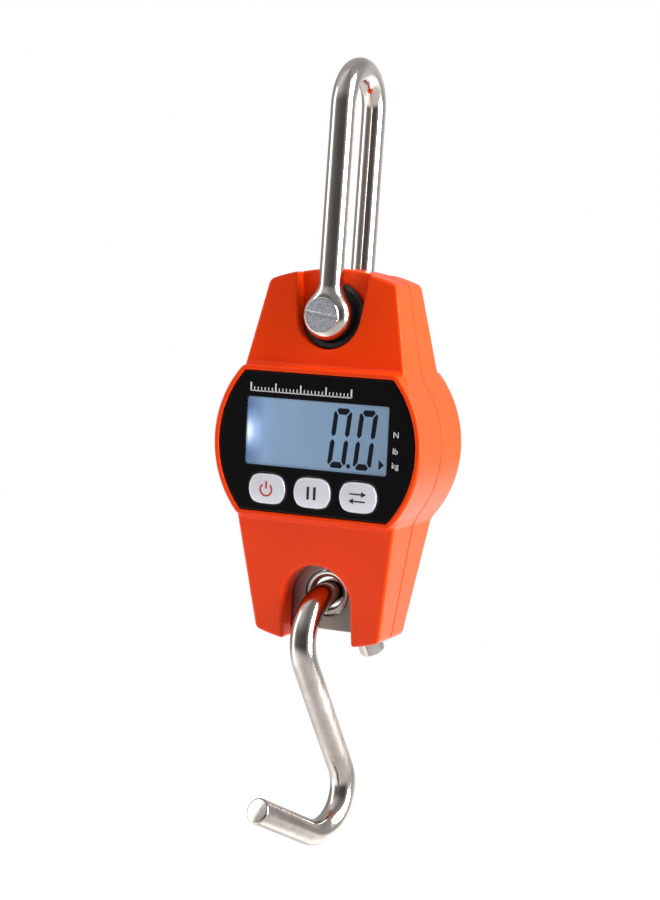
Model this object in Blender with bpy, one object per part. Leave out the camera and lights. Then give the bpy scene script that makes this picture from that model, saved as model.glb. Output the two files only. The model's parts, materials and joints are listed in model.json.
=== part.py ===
"""A pocket hanging scale: a shackle and pin, a plastic body round a load cell, and an S-hook.

Sizes below are in millimetres and are measured from the centre of the round display.
X runs to the right of the display, Y runs from the front to the back and Z runs up.
The finished model is placed with its origin where the scale hangs, inside the top of the shackle.
"""

import math

import bmesh
import bpy
from mathutils import Matrix, Vector

MM = 0.001
GAP = 0.3

# Beyond every face of the body, for cuts that go right through it
OUTSIDE, ABOVE, BELOW = 25.0, 60.0, -75.0

# Round display body
DISC_R = 33.2
DISC_FLAT_Z = 22.5
DISC_DEPTH = 17.1
WALL = 2.2
SEAM = 0.15
EDGE = 0.8

# Shoulder above the display and skirt below it: half widths, heights and depths
TOP_BASE_X, TOP_BASE_Z, TOP_BASE_Y = 25.8, 21.4, 13.6
TOP_TIP_X, TOP_TIP_Z, TOP_TIP_Y = 20.45, 47.84, 9.9
TOP_RISE = 3.9
LOW_BASE_X, LOW_BASE_Z, LOW_BASE_Y = 25.5, -22.0, 15.1
LOW_TIP_X, LOW_TIP_Z, LOW_TIP_Y = 20.2, -57.4, 9.7
LOW_RISE = -3.3

# Shackle, pin and the pocket they sit in
PIN_Z = 38.1
PIN_R = 3.5
SHACKLE_ROD_R = 3.6
SHACKLE_LEG_Y = 11.3
SHACKLE_REACH = 75.7
SHACKLE_LEAN = math.radians(1.35)
EYE_R = 7.5
EYE_FLAT = 4.4
EYE_EDGE = 3.6
HEAD_R = 5.3
HEAD_THICK = 1.0
HEAD_SLOT_W, HEAD_SLOT_D = 1.2, 0.6
HEAD_SLOT_TURN = math.radians(7)
HEAD_EDGE, PIN_EDGE = 0.3, 0.5
POCKET_R = 10.0
POCKET_FLARE = math.radians(7)
POCKET_FLOOR_Y = 5.8
POCKET_HOLE_R = 9.0
POCKET_BACK_Y = 3.3
WASHER_R = 8.6
COLLAR_R, COLLAR_BORE_R, COLLAR_Y = 9.7, 8.0, 10.6
COLLAR_END = 3.0

# Load cell and the slot the hook hangs in
CELL_HALF_Y = 2.8
CELL_HALF_X = 13.0
CELL_TOP_R = 10.0
CELL_NECK_Z, CELL_SHOULDER_Z = 34.1, 27.5
CELL_BOTTOM_Z = -56.6
CELL_CORNER = 3.0
HOLE_Z = -45.4
BUSH_SEAT_R = 6.95
BUSH_R = 6.65
BUSH_FACE_R = 6.1
BUSH_WAIST_R = 4.6
BUSH_FLARE = 2.15
FLEX_X, FLEX_R, FLEX_SLOT_Z = 7.0, 6.5, 1.0
GAUGE_Y, GAUGE_Z, GAUGE_THICK = 1.9, 10.0, 0.2
SLOT_R = 11.1
SLOT_Z = -47.1
SLOT_WALL = 1.6

# S-hook: one bent rod in an upright plane that is turned and leant a little
HOOK_ROD_R = 3.9
HOOK_TURN = math.radians(75.5)
HOOK_LEAN = math.radians(3.5)
HOOK_SHIFT = 1.5
HOOK_TOP_R, HOOK_TOP_SWEEP = 14.9, math.radians(181)
HOOK_TAIL = 13.5
HOOK_SHANK_SLOPE = math.radians(26.5)
HOOK_SHANK = 36.4
HOOK_LOW_R, HOOK_LOW_SWEEP = 12.5, math.radians(141.5)
HOOK_TIP = 24.8
HOOK_CHAMFER = 0.7

# Front stack, from the outside in (distances in front of the seam)
PLATE_R, PLATE_FLAT_Z = 31.3, 20.6
PLATE_FRONT, PLATE_BACK = 16.7, 15.5
FLOOR_FRONT, FLOOR_BACK = 15.2, 13.7
WINDOW_X, WINDOW_LOW, WINDOW_HIGH = 22.5, -6.74, 12.7
LCD_X, LCD_LOW, LCD_HIGH = 23.2, -7.45, 13.45
LCD_FRONT, LCD_BACK = 15.1, 13.1
HOLDER_X, HOLDER_LOW, HOLDER_HIGH = 23.7, -8.2, 14.9
HOLDER_FRONT, PCB_FRONT, PCB_BACK = 12.8, 7.5, 5.9
LIGHT_X, LIGHT_LOW, LIGHT_HIGH, LIGHT_BACK = 22.0, -4.1, 12.4, 10.6
STRIP_X, STRIP_LOW, STRIP_HIGH = 21.0, -7.2, -5.4
PCB_R, PCB_FLAT_Z = 29.0, 19.5
CHIPS = {"controller_chip": (17.5, 3.0, 4.0), "adc_chip": (-19.7, -8.0, 2.6)}
CHIP_BACK = 4.3
BUTTON_X = {"button_power": -15.0, "button_hold": -0.3, "button_unit": 14.4}
BUTTON_Z = -14.0
BUTTON_W, BUTTON_H, BUTTON_FLAT = 12.0, 9.0, 3.9
BUTTON_FRONT, FLANGE_FRONT, FLANGE_BACK = 17.3, 13.4, 12.6
FLANGE_X, FLANGE_Z = 6.7, 5.1
STEM_R, STEM_BACK = 1.6, 12.0
SWITCH_FRONT, SWITCH_CASE, SWITCH_SIDE = 11.3, 10.4, 6.0
PLUNGER_R = 1.7
PCB_POST_X, PCB_POST_R = 26.3, 2.2

# Battery side (distances behind the seam)
BATTERY_R, BATTERY_LONG = 5.25, 44.5
BATTERY_SHIFT = 1.2
NUB_R, NUB_LONG = 1.9, 0.9
BATTERY_PITCH = 10.8
BATTERY_Y = 9.5
TRAY_X, TRAY_Z, TRAY_FLOOR, TRAY_TOP = 25.6, 17.0, 3.1, 12.0
TRAY_WALL, TRAY_RIM, TRAY_BASE = 0.9, 0.6, 0.8
CONTACT_THICK, CONTACT_Z, CONTACT_LOW_Y, CONTACT_HIGH_Y = 0.4, 4.0, 5.0, 11.8
SPRING_WIRE, SPRING_WIDE_R, SPRING_NARROW_R, SPRING_Y = 0.35, 3.4, 2.4, 8.5
SPRING_TURNS, SPRING_STEPS, SPRING_SIDES = 3, 9, 5
DOOR_X, DOOR_Z = 24.7, 17.2
DOOR_BACK, DOOR_INNER = 17.1, 15.4
TONGUE_X, TONGUE_HALF = 14.0, 3.0
GROOVE_X, GROOVE_Z, GROOVE_PITCH, GROOVE_W, GROOVE_D = 7.0, -14.2, 2.0, 0.9, 0.5
REAR_FLOOR = 15.1

# Fasteners: name, place across, place up
SHELL_SCREWS = {"1": (-17.0, 30.0), "2": (17.0, 30.0), "3": (-16.7, -44.0), "4": (16.7, -44.0)}
SHELL_BOSS_R, SHELL_SCREW_R, SHELL_HEAD_R, SHELL_HEAD_Y, SHELL_SCREW_TIP = 3.0, 1.3, 2.4, 6.3, -7.0
CELL_SCREWS = {"1": 23.6, "2": -28.0}
CELL_BOSS_R, CELL_SCREW_R, CELL_HEAD_R, CELL_SCREW_TIP = 2.5, 1.2, 2.2, -8.0
PCB_SCREW_R, PCB_HEAD_R, PCB_SCREW_TIP = 1.1, 2.1, -12.0
HOLE_SPARE = 0.6

# Leads inside the body, as places they pass through
LEAD_R, CABLE_R = 0.55, 0.6
BATTERY_LEAD = [(26.3, 6.0, 9.4), (27.2, 3.2, 9.0), (27.2, -1.5, 8.4), (25.4, -3.6, 8.0), (24.6, -5.0, 8.0)]
CELL_CABLE = [
    (-14.4, 0.0, 4.0),
    (-16.0, 0.2, 2.5),
    (-18.0, -1.4, 0.5),
    (-19.4, -3.4, -1.2),
    (-19.6, -5.0, -1.6),
]

HANG = Vector(
    (
        math.sin(SHACKLE_LEAN) * (SHACKLE_REACH - 2 * SHACKLE_ROD_R),
        0.0,
        PIN_Z + math.cos(SHACKLE_LEAN) * (SHACKLE_REACH - 2 * SHACKLE_ROD_R),
    )
)


def clear_scene():
    for obj in list(bpy.data.objects):
        bpy.data.objects.remove(obj, do_unlink=True)


# ---------------------------------------------------------------- materials


def material(name, colour, roughness, metallic=0.0, alpha=1.0):
    made = bpy.data.materials.new(name)
    made.use_nodes = True
    shader = made.node_tree.nodes["Principled BSDF"]
    shader.inputs["Base Color"].default_value = (*colour, 1.0)
    shader.inputs["Roughness"].default_value = roughness
    shader.inputs["Metallic"].default_value = metallic
    shader.inputs["Alpha"].default_value = alpha
    return made


FINISHES = {
    "orange": ((0.80, 0.07, 0.015), 0.38, 0.0, 1.0),
    "black_panel": ((0.012, 0.012, 0.015), 0.2, 0.0, 1.0),
    "clear": ((0.9, 0.95, 1.0), 0.05, 0.0, 0.3),
    "pearl": ((0.75, 0.74, 0.76), 0.3, 0.0, 1.0),
    "lcd": ((0.45, 0.55, 0.68), 0.15, 0.0, 1.0),
    "white_plastic": ((0.8, 0.8, 0.78), 0.5, 0.0, 1.0),
    "black_plastic": ((0.02, 0.02, 0.02), 0.5, 0.0, 1.0),
    "board_green": ((0.02, 0.16, 0.06), 0.45, 0.0, 1.0),
    "polished_steel": ((0.72, 0.71, 0.69), 0.12, 1.0, 1.0),
    "grey_steel": ((0.45, 0.44, 0.44), 0.4, 1.0, 1.0),
    "zinc_steel": ((0.60, 0.62, 0.66), 0.3, 1.0, 1.0),
    "cell_wrap": ((0.05, 0.22, 0.45), 0.35, 0.0, 1.0),
    "lead_red": ((0.55, 0.02, 0.02), 0.45, 0.0, 1.0),
    "lead_black": ((0.02, 0.02, 0.02), 0.45, 0.0, 1.0),
    "gauge_foil": ((0.60, 0.35, 0.12), 0.4, 0.0, 1.0),
}


# ---------------------------------------------------------------- placing


def pivot(name, at, parent=None):
    """An empty on a joint's axis. Its true place is kept so that pieces can be put relative to it."""
    empty = bpy.data.objects.new(name, None)
    empty.empty_display_size = 0.01
    bpy.context.scene.collection.objects.link(empty)
    place = Vector(at)
    empty["place"] = list(place)
    if parent is None:
        empty.location = (place - HANG) * MM
    else:
        empty.parent = parent
        empty.location = (place - Vector(parent["place"])) * MM
    return empty


def finish(obj, finish_name, parent):
    """Gives a piece its own material and hangs it on its pivot, keeping body coordinates in its mesh."""
    obj.data.materials.clear()
    obj.data.materials.append(material(obj.name, *FINISHES[finish_name]))
    hang_on(obj, parent)
    return obj


def hang_on(obj, parent):
    """Puts a piece and the Boolean tools that shape it on the same pivot."""
    obj.parent = parent
    obj.location = -Vector(parent["place"]) * MM
    for step in obj.modifiers:
        if step.type == "BOOLEAN":
            hang_on(step.object, parent)


# ---------------------------------------------------------------- solids


def new_object(name, bm):
    bmesh.ops.recalc_face_normals(bm, faces=bm.faces)
    mesh = bpy.data.meshes.new(name)
    bm.to_mesh(mesh)
    bm.free()
    mesh.shade_smooth()
    mesh.set_sharp_from_angle(angle=math.radians(30))
    obj = bpy.data.objects.new(name, mesh)
    bpy.context.scene.collection.objects.link(obj)
    return obj


def prism(name, outline, y_front, y_back):
    """A solid with an (x, z) outline. y_front and y_back are numbers, or functions of z for a slope."""
    front = y_front if callable(y_front) else lambda z: y_front
    back = y_back if callable(y_back) else lambda z: y_back
    bm = bmesh.new()
    near = [bm.verts.new(Vector((x, front(z), z)) * MM) for x, z in outline]
    far = [bm.verts.new(Vector((x, back(z), z)) * MM) for x, z in outline]
    bm.faces.new(near)
    bm.faces.new(list(reversed(far)))
    for i in range(len(outline)):
        j = (i + 1) % len(outline)
        bm.faces.new((near[j], near[i], far[i], far[j]))
    return new_object(name, bm)


def box(name, low, high):
    x0, y0, z0 = low
    x1, y1, z1 = high
    return prism(name, [(x0, z0), (x1, z0), (x1, z1), (x0, z1)], y0, y1)


def lathe(name, profile, axis="Y", centre=(0, 0, 0), steps=32):
    """Turns a closed (radius, along) profile round an axis. A radius of 0 closes on the axis."""
    bm = bmesh.new()
    rings = []
    for radius, along in profile:
        count = 1 if radius == 0 else steps
        ring = []
        for i in range(count):
            turn = 2 * math.pi * i / steps
            ring.append(bm.verts.new(Vector((radius * math.cos(turn), along, radius * math.sin(turn)))))
        rings.append(ring)
    for i in range(len(rings)):
        a, b = rings[i], rings[(i + 1) % len(rings)]
        if len(a) == 1 and len(b) == 1:
            continue
        for k in range(steps):
            m = (k + 1) % steps
            corners = [a[k % len(a)], b[k % len(b)], b[m % len(b)], a[m % len(a)]]
            unique = list(dict.fromkeys(corners))
            bm.faces.new(unique)
    if axis == "X":
        bm.transform(Matrix.Rotation(-math.pi / 2, 4, "Z"))
    bm.transform(Matrix.Translation(Vector(centre)))
    bm.transform(Matrix.Scale(MM, 4))
    return new_object(name, bm)


def rod(name, radius, y_front, y_back, x, z, steps=20):
    """A plain round bar along Y."""
    profile = [(0, y_front), (radius, y_front), (radius, y_back), (0, y_back)]
    return lathe(name, profile, "Y", (x, 0, z), steps)


def screw(name, head_r, head_thick, shaft_r, head_y, tip_y, x, z):
    """A pan-head screw along Y with its head at head_y and a cross slot shown as a dimple."""
    side = 1 if head_y > tip_y else -1
    top = head_y + side * head_thick
    profile = [
        (0, top - side * 0.4 * head_thick),
        (0.35 * head_r, top),
        (0.75 * head_r, top),
        (head_r, top - side * 0.4 * head_thick),
        (head_r, head_y),
        (shaft_r, head_y),
        (shaft_r, tip_y + side * shaft_r),
        (0, tip_y),
    ]
    return lathe(name, profile, "Y", (x, 0, z), 14)


def sweep(name, path, normal, radius_at, sides=12):
    """A round bar along a flat path. normal is the path's plane's normal, and radius_at(i) is its radius."""
    bm = bmesh.new()
    rings = []
    for i, point in enumerate(path):
        before, after = path[max(i - 1, 0)], path[min(i + 1, len(path) - 1)]
        tangent = (after - before).normalized()
        across = tangent.cross(normal)
        ring = []
        for k in range(sides):
            turn = 2 * math.pi * k / sides
            offset = (normal * math.cos(turn) + across * math.sin(turn)) * radius_at(i)
            ring.append(bm.verts.new((point + offset) * MM))
        rings.append(ring)
    for a, b in zip(rings, rings[1:]):
        for k in range(sides):
            m = (k + 1) % sides
            bm.faces.new((a[k], a[m], b[m], b[k]))
    bm.faces.new(rings[0])
    bm.faces.new(rings[-1])
    return new_object(name, bm)


def lead(name, points, radius):
    """A thin insulated wire: a smooth curve through a few points, with filled ends."""
    curve = bpy.data.curves.new(name, "CURVE")
    curve.dimensions = "3D"
    curve.bevel_depth = radius * MM
    curve.bevel_resolution = 2
    curve.use_fill_caps = True
    places = [Vector(p) for p in points]
    places = [2 * places[0] - places[1]] + places + [2 * places[-1] - places[-2]]
    smooth = []
    for i in range(1, len(places) - 2):
        p0, p1, p2, p3 = places[i - 1 : i + 3]
        for step in range(3):
            t = step / 3
            bend = 2 * p1 + (p2 - p0) * t
            bend += (2 * p0 - 5 * p1 + 4 * p2 - p3) * t**2
            bend += (3 * p1 - p0 - 3 * p2 + p3) * t**3
            smooth.append(bend / 2)
    smooth.append(places[-2])
    spline = curve.splines.new("POLY")
    spline.points.add(len(smooth) - 1)
    for target, place in zip(spline.points, smooth):
        target.co = (*(place * MM), 1.0)
    obj = bpy.data.objects.new(name, curve)
    bpy.context.scene.collection.objects.link(obj)
    return obj


def boolean(obj, other, operation):
    """A live Boolean with other, which is kept as a hidden wire tool."""
    step = obj.modifiers.new(operation.lower() + "_" + other.name, "BOOLEAN")
    step.operation = operation
    step.solver = "EXACT"
    step.object = other
    other.hide_render = True
    other.display_type = "WIRE"


def cut(obj, *tools):
    for tool in tools:
        boolean(obj, tool, "DIFFERENCE")


def fuse(obj, *others):
    for other in others:
        boolean(obj, other, "UNION")


# ---------------------------------------------------------------- outlines


def arc(cx, cz, radius, start, end, steps):
    """Points of a circle from start to end degrees, both included."""
    turns = [math.radians(start + (end - start) * i / steps) for i in range(steps + 1)]
    return [(cx + radius * math.cos(t), cz + radius * math.sin(t)) for t in turns]


def disc_outline(radius, flat, steps=16):
    """A circle with its top and bottom cut flat."""
    end = math.degrees(math.asin(flat / radius))
    return arc(0, 0, radius, -end, end, steps) + arc(0, 0, radius, 180 - end, 180 + end, steps)


def arch(half_width, base_z, rise, steps=8):
    """An arch from +half_width to -half_width that bulges by rise."""
    radius = (half_width**2 + rise**2) / (2 * abs(rise))
    end = math.degrees(math.asin(half_width / radius))
    side = 1 if rise > 0 else -1
    centre = base_z + rise - side * radius
    return arc(0, centre, radius, side * (90 - end), side * (90 + end), steps)


def wedge_outline(base, tip, rise, start, inset=0.0):
    """The shoulder or skirt seen from the front: straight sides from inside the disc to an arched end."""
    (base_x, base_z), (tip_x, tip_z) = base, tip
    slope = (base_x - tip_x) / (tip_z - base_z)
    start_z = math.copysign(start, tip_z)
    start_x = base_x + slope * (base_z - start_z) - inset
    end_z = tip_z - math.copysign(inset, tip_z)
    end_x = tip_x + slope * math.copysign(inset, tip_z) - inset
    return [(-start_x, start_z), (start_x, start_z)] + arch(end_x, end_z, rise)


def top_front(z):
    slope = (TOP_BASE_Y - TOP_TIP_Y) / (TOP_TIP_Z - TOP_BASE_Z)
    return TOP_BASE_Y - slope * (z - TOP_BASE_Z)


def low_front(z):
    slope = (LOW_BASE_Y - LOW_TIP_Y) / (LOW_BASE_Z - LOW_TIP_Z)
    return LOW_BASE_Y - slope * (LOW_BASE_Z - z)


def pocket_outline(radius):
    """A round-bottomed pocket whose sides flare out upwards."""
    lean = math.degrees(POCKET_FLARE)
    wall_x = radius * math.cos(POCKET_FLARE)
    wall_z = PIN_Z - radius * math.sin(POCKET_FLARE)
    reach = wall_x + (ABOVE - wall_z) * math.tan(POCKET_FLARE)
    return [(reach, ABOVE), (-reach, ABOVE)] + arc(0, PIN_Z, radius, 180 + lean, 360 - lean, 20)


def slot_outline(radius):
    """An upside-down U, open at the bottom."""
    return [(-radius, BELOW), (radius, BELOW)] + arc(0, SLOT_Z, radius, 0, 180, 16)


def rounded_box(half_x, low, high, corner, steps=4):
    outline = arc(half_x - corner, low + corner, corner, -90, 0, steps)
    outline += arc(half_x - corner, high - corner, corner, 0, 90, steps)
    outline += arc(corner - half_x, high - corner, corner, 90, 180, steps)
    outline += arc(corner - half_x, low + corner, corner, 180, 270, steps)
    return outline


def button_outline(x, width, height, flat):
    """A button with flat top and bottom edges and bowed ends."""
    half_w, half_h = width / 2, height / 2
    bulge = half_w - flat
    radius = (half_h**2 + bulge**2) / (2 * bulge)
    end = math.degrees(math.asin(half_h / radius))
    right = arc(x + half_w - radius, BUTTON_Z, radius, -end, end, 6)
    left = arc(x - half_w + radius, BUTTON_Z, radius, 180 - end, 180 + end, 6)
    return right + left


def button_hole(x):
    return button_outline(x, BUTTON_W + 2 * GAP, BUTTON_H + 2 * GAP, BUTTON_FLAT)


def soften(obj, width=EDGE):
    """A one-step bevel on a piece's sharp edges."""
    step = obj.modifiers.new("edges", "BEVEL")
    step.width = width * MM
    step.segments = 1
    step.limit_method = "ANGLE"
    step.angle_limit = math.radians(40)


# ---------------------------------------------------------------- housings


def shell_body(name, side):
    """The outer form of one half. side is -1 for the front half and +1 for the rear half."""

    def reach(depth):
        return lambda z: side * depth(z)

    def past_seam(step):
        """Each form ends at a depth of its own beyond the seam, and the seam cut then trims them all."""
        return side * (SEAM - step)

    disc = prism(name, disc_outline(DISC_R, DISC_FLAT_Z), side * DISC_DEPTH, past_seam(2.0))
    soften(disc)
    start = DISC_FLAT_Z / 2
    top_line = wedge_outline((TOP_BASE_X, TOP_BASE_Z), (TOP_TIP_X, TOP_TIP_Z), TOP_RISE, start)
    low_line = wedge_outline((LOW_BASE_X, LOW_BASE_Z), (LOW_TIP_X, LOW_TIP_Z), LOW_RISE, start)
    top = prism(name + "_shoulder", top_line, reach(top_front), past_seam(2.5))
    low = prism(name + "_skirt", low_line, reach(low_front), past_seam(3.0))
    soften(top)
    soften(low)
    fuse(disc, top, low)
    beyond = sorted((side * SEAM, -side * OUTSIDE))
    low, high = (-2 * OUTSIDE, beyond[0], BELOW), (2 * OUTSIDE, beyond[1], ABOVE)
    cut(disc, box(name + "_seam_cut", low, high))
    return disc


def shell_hollow(name, side, floor_y):
    """The space inside one half, less the walls round the pocket, the slot and the bosses."""

    def inner(depth):
        return lambda z: side * (depth(z) - WALL)

    def past_seam(step):
        return side * (SEAM - step)

    space = prism(name, disc_outline(DISC_R - WALL, DISC_FLAT_Z - WALL), side * floor_y, past_seam(1.0))
    start = DISC_FLAT_Z - 2 * WALL
    top_line = wedge_outline((TOP_BASE_X, TOP_BASE_Z), (TOP_TIP_X, TOP_TIP_Z), TOP_RISE, start, WALL)
    low_line = wedge_outline((LOW_BASE_X, LOW_BASE_Z), (LOW_TIP_X, LOW_TIP_Z), LOW_RISE, start, WALL)
    top = prism(name + "_shoulder", top_line, inner(top_front), past_seam(1.2))
    low = prism(name + "_skirt", low_line, inner(low_front), past_seam(1.4))
    fuse(space, top, low)
    back = side * POCKET_BACK_Y
    face = side * (CELL_HALF_Y + GAP)
    pocket = prism(name + "_pocket", pocket_outline(POCKET_R + WALL), side * OUTSIDE, back)
    slot = prism(name + "_slot", slot_outline(SLOT_R + SLOT_WALL), side * OUTSIDE, face)
    cut(space, pocket, slot)
    for key, (x, z) in SHELL_SCREWS.items():
        boss = rod(name + "_boss_" + key, SHELL_BOSS_R, side * OUTSIDE, past_seam(2.0), x, z, 16)
        cut(space, boss)
    return space


def cut_pocket_and_slot(shell, side):
    """The shackle's pocket with the round hole in its floor, and the hook's slot."""
    name = shell.name
    floor = side * POCKET_FLOOR_Y
    pocket = prism(name + "_pocket_cut", pocket_outline(POCKET_R), side * OUTSIDE, floor)
    hole = rod(name + "_pin_hole", POCKET_HOLE_R, floor + side * GAP, 0, 0, PIN_Z, 28)
    slot = prism(name + "_slot_cut", slot_outline(SLOT_R), side * OUTSIDE, side * -1.0)
    cut(shell, pocket, hole, slot)


def front_housing(parent):
    shell = shell_body("front_housing", -1)
    hollow = shell_hollow("front_space", -1, FLOOR_BACK)
    for key, z in CELL_SCREWS.items():
        boss = rod("front_space_cell_boss_" + key, CELL_BOSS_R, -OUTSIDE, -CELL_HALF_Y - GAP, 0, z, 16)
        cut(hollow, boss)
    for side in (-1, 1):
        x = side * PCB_POST_X
        post = rod("front_space_post_%d" % side, PCB_POST_R, -OUTSIDE, -PCB_FRONT - GAP, x, 0, 14)
        cut(hollow, post)
    cut(shell, hollow)
    cut_pocket_and_slot(shell, -1)
    inside = 1 - FLOOR_BACK
    recess = prism("front_recess", disc_outline(PLATE_R + GAP, PLATE_FLAT_Z + GAP), -OUTSIDE, -FLOOR_FRONT)
    opening = rounded_box(LCD_X + GAP, LCD_LOW - GAP, LCD_HIGH + GAP, 0.6, 1)
    cut(shell, recess, prism("front_window_cut", opening, -OUTSIDE, inside))
    for key, x in BUTTON_X.items():
        cut(shell, prism("front_" + key + "_cut", button_hole(x), -OUTSIDE, inside))
    for key, (x, z) in SHELL_SCREWS.items():
        radius = SHELL_SCREW_R + GAP
        cut(shell, rod("front_screw_hole_" + key, radius, SHELL_SCREW_TIP - HOLE_SPARE, 1, x, z, 10))
    for key, z in CELL_SCREWS.items():
        radius = CELL_SCREW_R + GAP
        cut(shell, rod("front_cell_hole_" + key, radius, CELL_SCREW_TIP - HOLE_SPARE, 0, 0, z, 10))
    for side in (-1, 1):
        radius = PCB_SCREW_R + GAP
        tip = PCB_SCREW_TIP - HOLE_SPARE
        cut(shell, rod("front_post_hole_%d" % side, radius, tip, -PCB_BACK, side * PCB_POST_X, 0, 10))
    return finish(shell, "orange", parent)


def rear_housing(parent):
    shell = shell_body("rear_housing", 1)
    hollow = shell_hollow("rear_space", 1, REAR_FLOOR)
    cut(shell, hollow)
    cut_pocket_and_slot(shell, 1)
    low = (-DOOR_X - GAP, TRAY_TOP, -DOOR_Z - GAP)
    high = (DOOR_X + GAP, OUTSIDE, DOOR_Z + GAP)
    cut(shell, box("rear_battery_opening", low, high))
    for key, (x, z) in SHELL_SCREWS.items():
        cut(shell, rod("rear_screw_hole_" + key, SHELL_SCREW_R + GAP, -1, OUTSIDE, x, z, 10))
        seat = SHELL_HEAD_Y - GAP
        cut(shell, rod("rear_head_hole_" + key, SHELL_HEAD_R + GAP, seat, OUTSIDE, x, z, 14))
    return finish(shell, "orange", parent)


# ---------------------------------------------------------------- front panel


def faceplate(parent):
    plate = prism("faceplate", disc_outline(PLATE_R, PLATE_FLAT_Z), -PLATE_FRONT, -PLATE_BACK)
    window = rounded_box(WINDOW_X + GAP, WINDOW_LOW - GAP, WINDOW_HIGH + GAP, 0.8, 2)
    cut(plate, prism("faceplate_window_cut", window, -OUTSIDE, -HOLDER_FRONT))
    for key, x in BUTTON_X.items():
        cut(plate, prism("faceplate_" + key + "_cut", button_hole(x), -OUTSIDE, -HOLDER_FRONT))
    return finish(plate, "black_panel", parent)


def lcd_window(parent):
    pane = rounded_box(WINDOW_X, WINDOW_LOW, WINDOW_HIGH, 0.6, 2)
    return finish(prism("lcd_window", pane, -PLATE_FRONT, -PLATE_BACK), "clear", parent)


def push_button(name, x, parent):
    """A cap that comes through the panel, a flange that keeps it in, and a stem over its switch."""
    cap = prism(name, button_outline(x, BUTTON_W, BUTTON_H, BUTTON_FLAT), -BUTTON_FRONT, -FLANGE_FRONT)
    soften(cap, 0.5)
    flange = box(
        name + "_flange",
        (x - FLANGE_X, -FLANGE_FRONT - 0.05, BUTTON_Z - FLANGE_Z),
        (x + FLANGE_X, -FLANGE_BACK, BUTTON_Z + FLANGE_Z),
    )
    stem = rod(name + "_stem", STEM_R, -FLANGE_BACK - 0.2, -STEM_BACK, x, BUTTON_Z, 12)
    fuse(cap, flange, stem)
    return finish(cap, "pearl", parent)


def display_stack(parent):
    """The display glass, and the frame behind it with its light and the strip that connects it."""
    back = -PCB_FRONT - GAP
    glass = box("lcd_glass", (-LCD_X, -LCD_FRONT, LCD_LOW), (LCD_X, -LCD_BACK, LCD_HIGH))
    finish(glass, "lcd", parent)
    light = box("lcd_backlight", (-LIGHT_X, -HOLDER_FRONT, LIGHT_LOW), (LIGHT_X, -LIGHT_BACK, LIGHT_HIGH))
    finish(light, "white_plastic", parent)
    holder = box("lcd_holder", (-HOLDER_X, -HOLDER_FRONT, HOLDER_LOW), (HOLDER_X, back, HOLDER_HIGH))
    light_seat = box(
        "holder_light_seat",
        (-LIGHT_X - GAP, -OUTSIDE, LIGHT_LOW - GAP),
        (LIGHT_X + GAP, -LIGHT_BACK + GAP, LIGHT_HIGH + GAP),
    )
    strip_seat = box(
        "holder_strip_seat",
        (-STRIP_X - GAP, -OUTSIDE, STRIP_LOW - GAP),
        (STRIP_X + GAP, 0, STRIP_HIGH + GAP),
    )
    cut(holder, light_seat, strip_seat)
    finish(holder, "white_plastic", parent)
    strip = box("zebra_strip", (-STRIP_X, -HOLDER_FRONT, STRIP_LOW), (STRIP_X, back, STRIP_HIGH))
    finish(strip, "black_plastic", parent)


def main_board(parent):
    board = prism("main_pcb", disc_outline(PCB_R, PCB_FLAT_Z, 12), -PCB_FRONT, -PCB_BACK)
    for side in (-1, 1):
        cut(board, rod("pcb_hole_%d" % side, PCB_SCREW_R + GAP, -9, -4, side * PCB_POST_X, 0, 10))
    finish(board, "board_green", parent)
    half = SWITCH_SIDE / 2
    for number, x in enumerate(BUTTON_X.values(), 1):
        name = "tact_switch_%d" % number
        low = (x - half, -SWITCH_CASE, BUTTON_Z - half)
        high = (x + half, -PCB_FRONT - GAP, BUTTON_Z + half)
        case = box(name, low, high)
        plunger = rod(name + "_plunger", PLUNGER_R, -SWITCH_FRONT, 1 - SWITCH_CASE, x, BUTTON_Z, 12)
        fuse(case, plunger)
        finish(case, "black_plastic", parent)
    for name, (x, z, half) in CHIPS.items():
        chip = box(name, (x - half, -PCB_BACK + GAP, z - half), (x + half, -CHIP_BACK, z + half))
        finish(chip, "black_plastic", parent)
    for number, side in enumerate((-1, 1), 1):
        name = "pcb_screw_%d" % number
        seat = -PCB_BACK + GAP
        fixing = screw(name, PCB_HEAD_R, 1.3, PCB_SCREW_R, seat, PCB_SCREW_TIP, side * PCB_POST_X, 0)
        finish(fixing, "zinc_steel", parent)


# ---------------------------------------------------------------- load path


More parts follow.
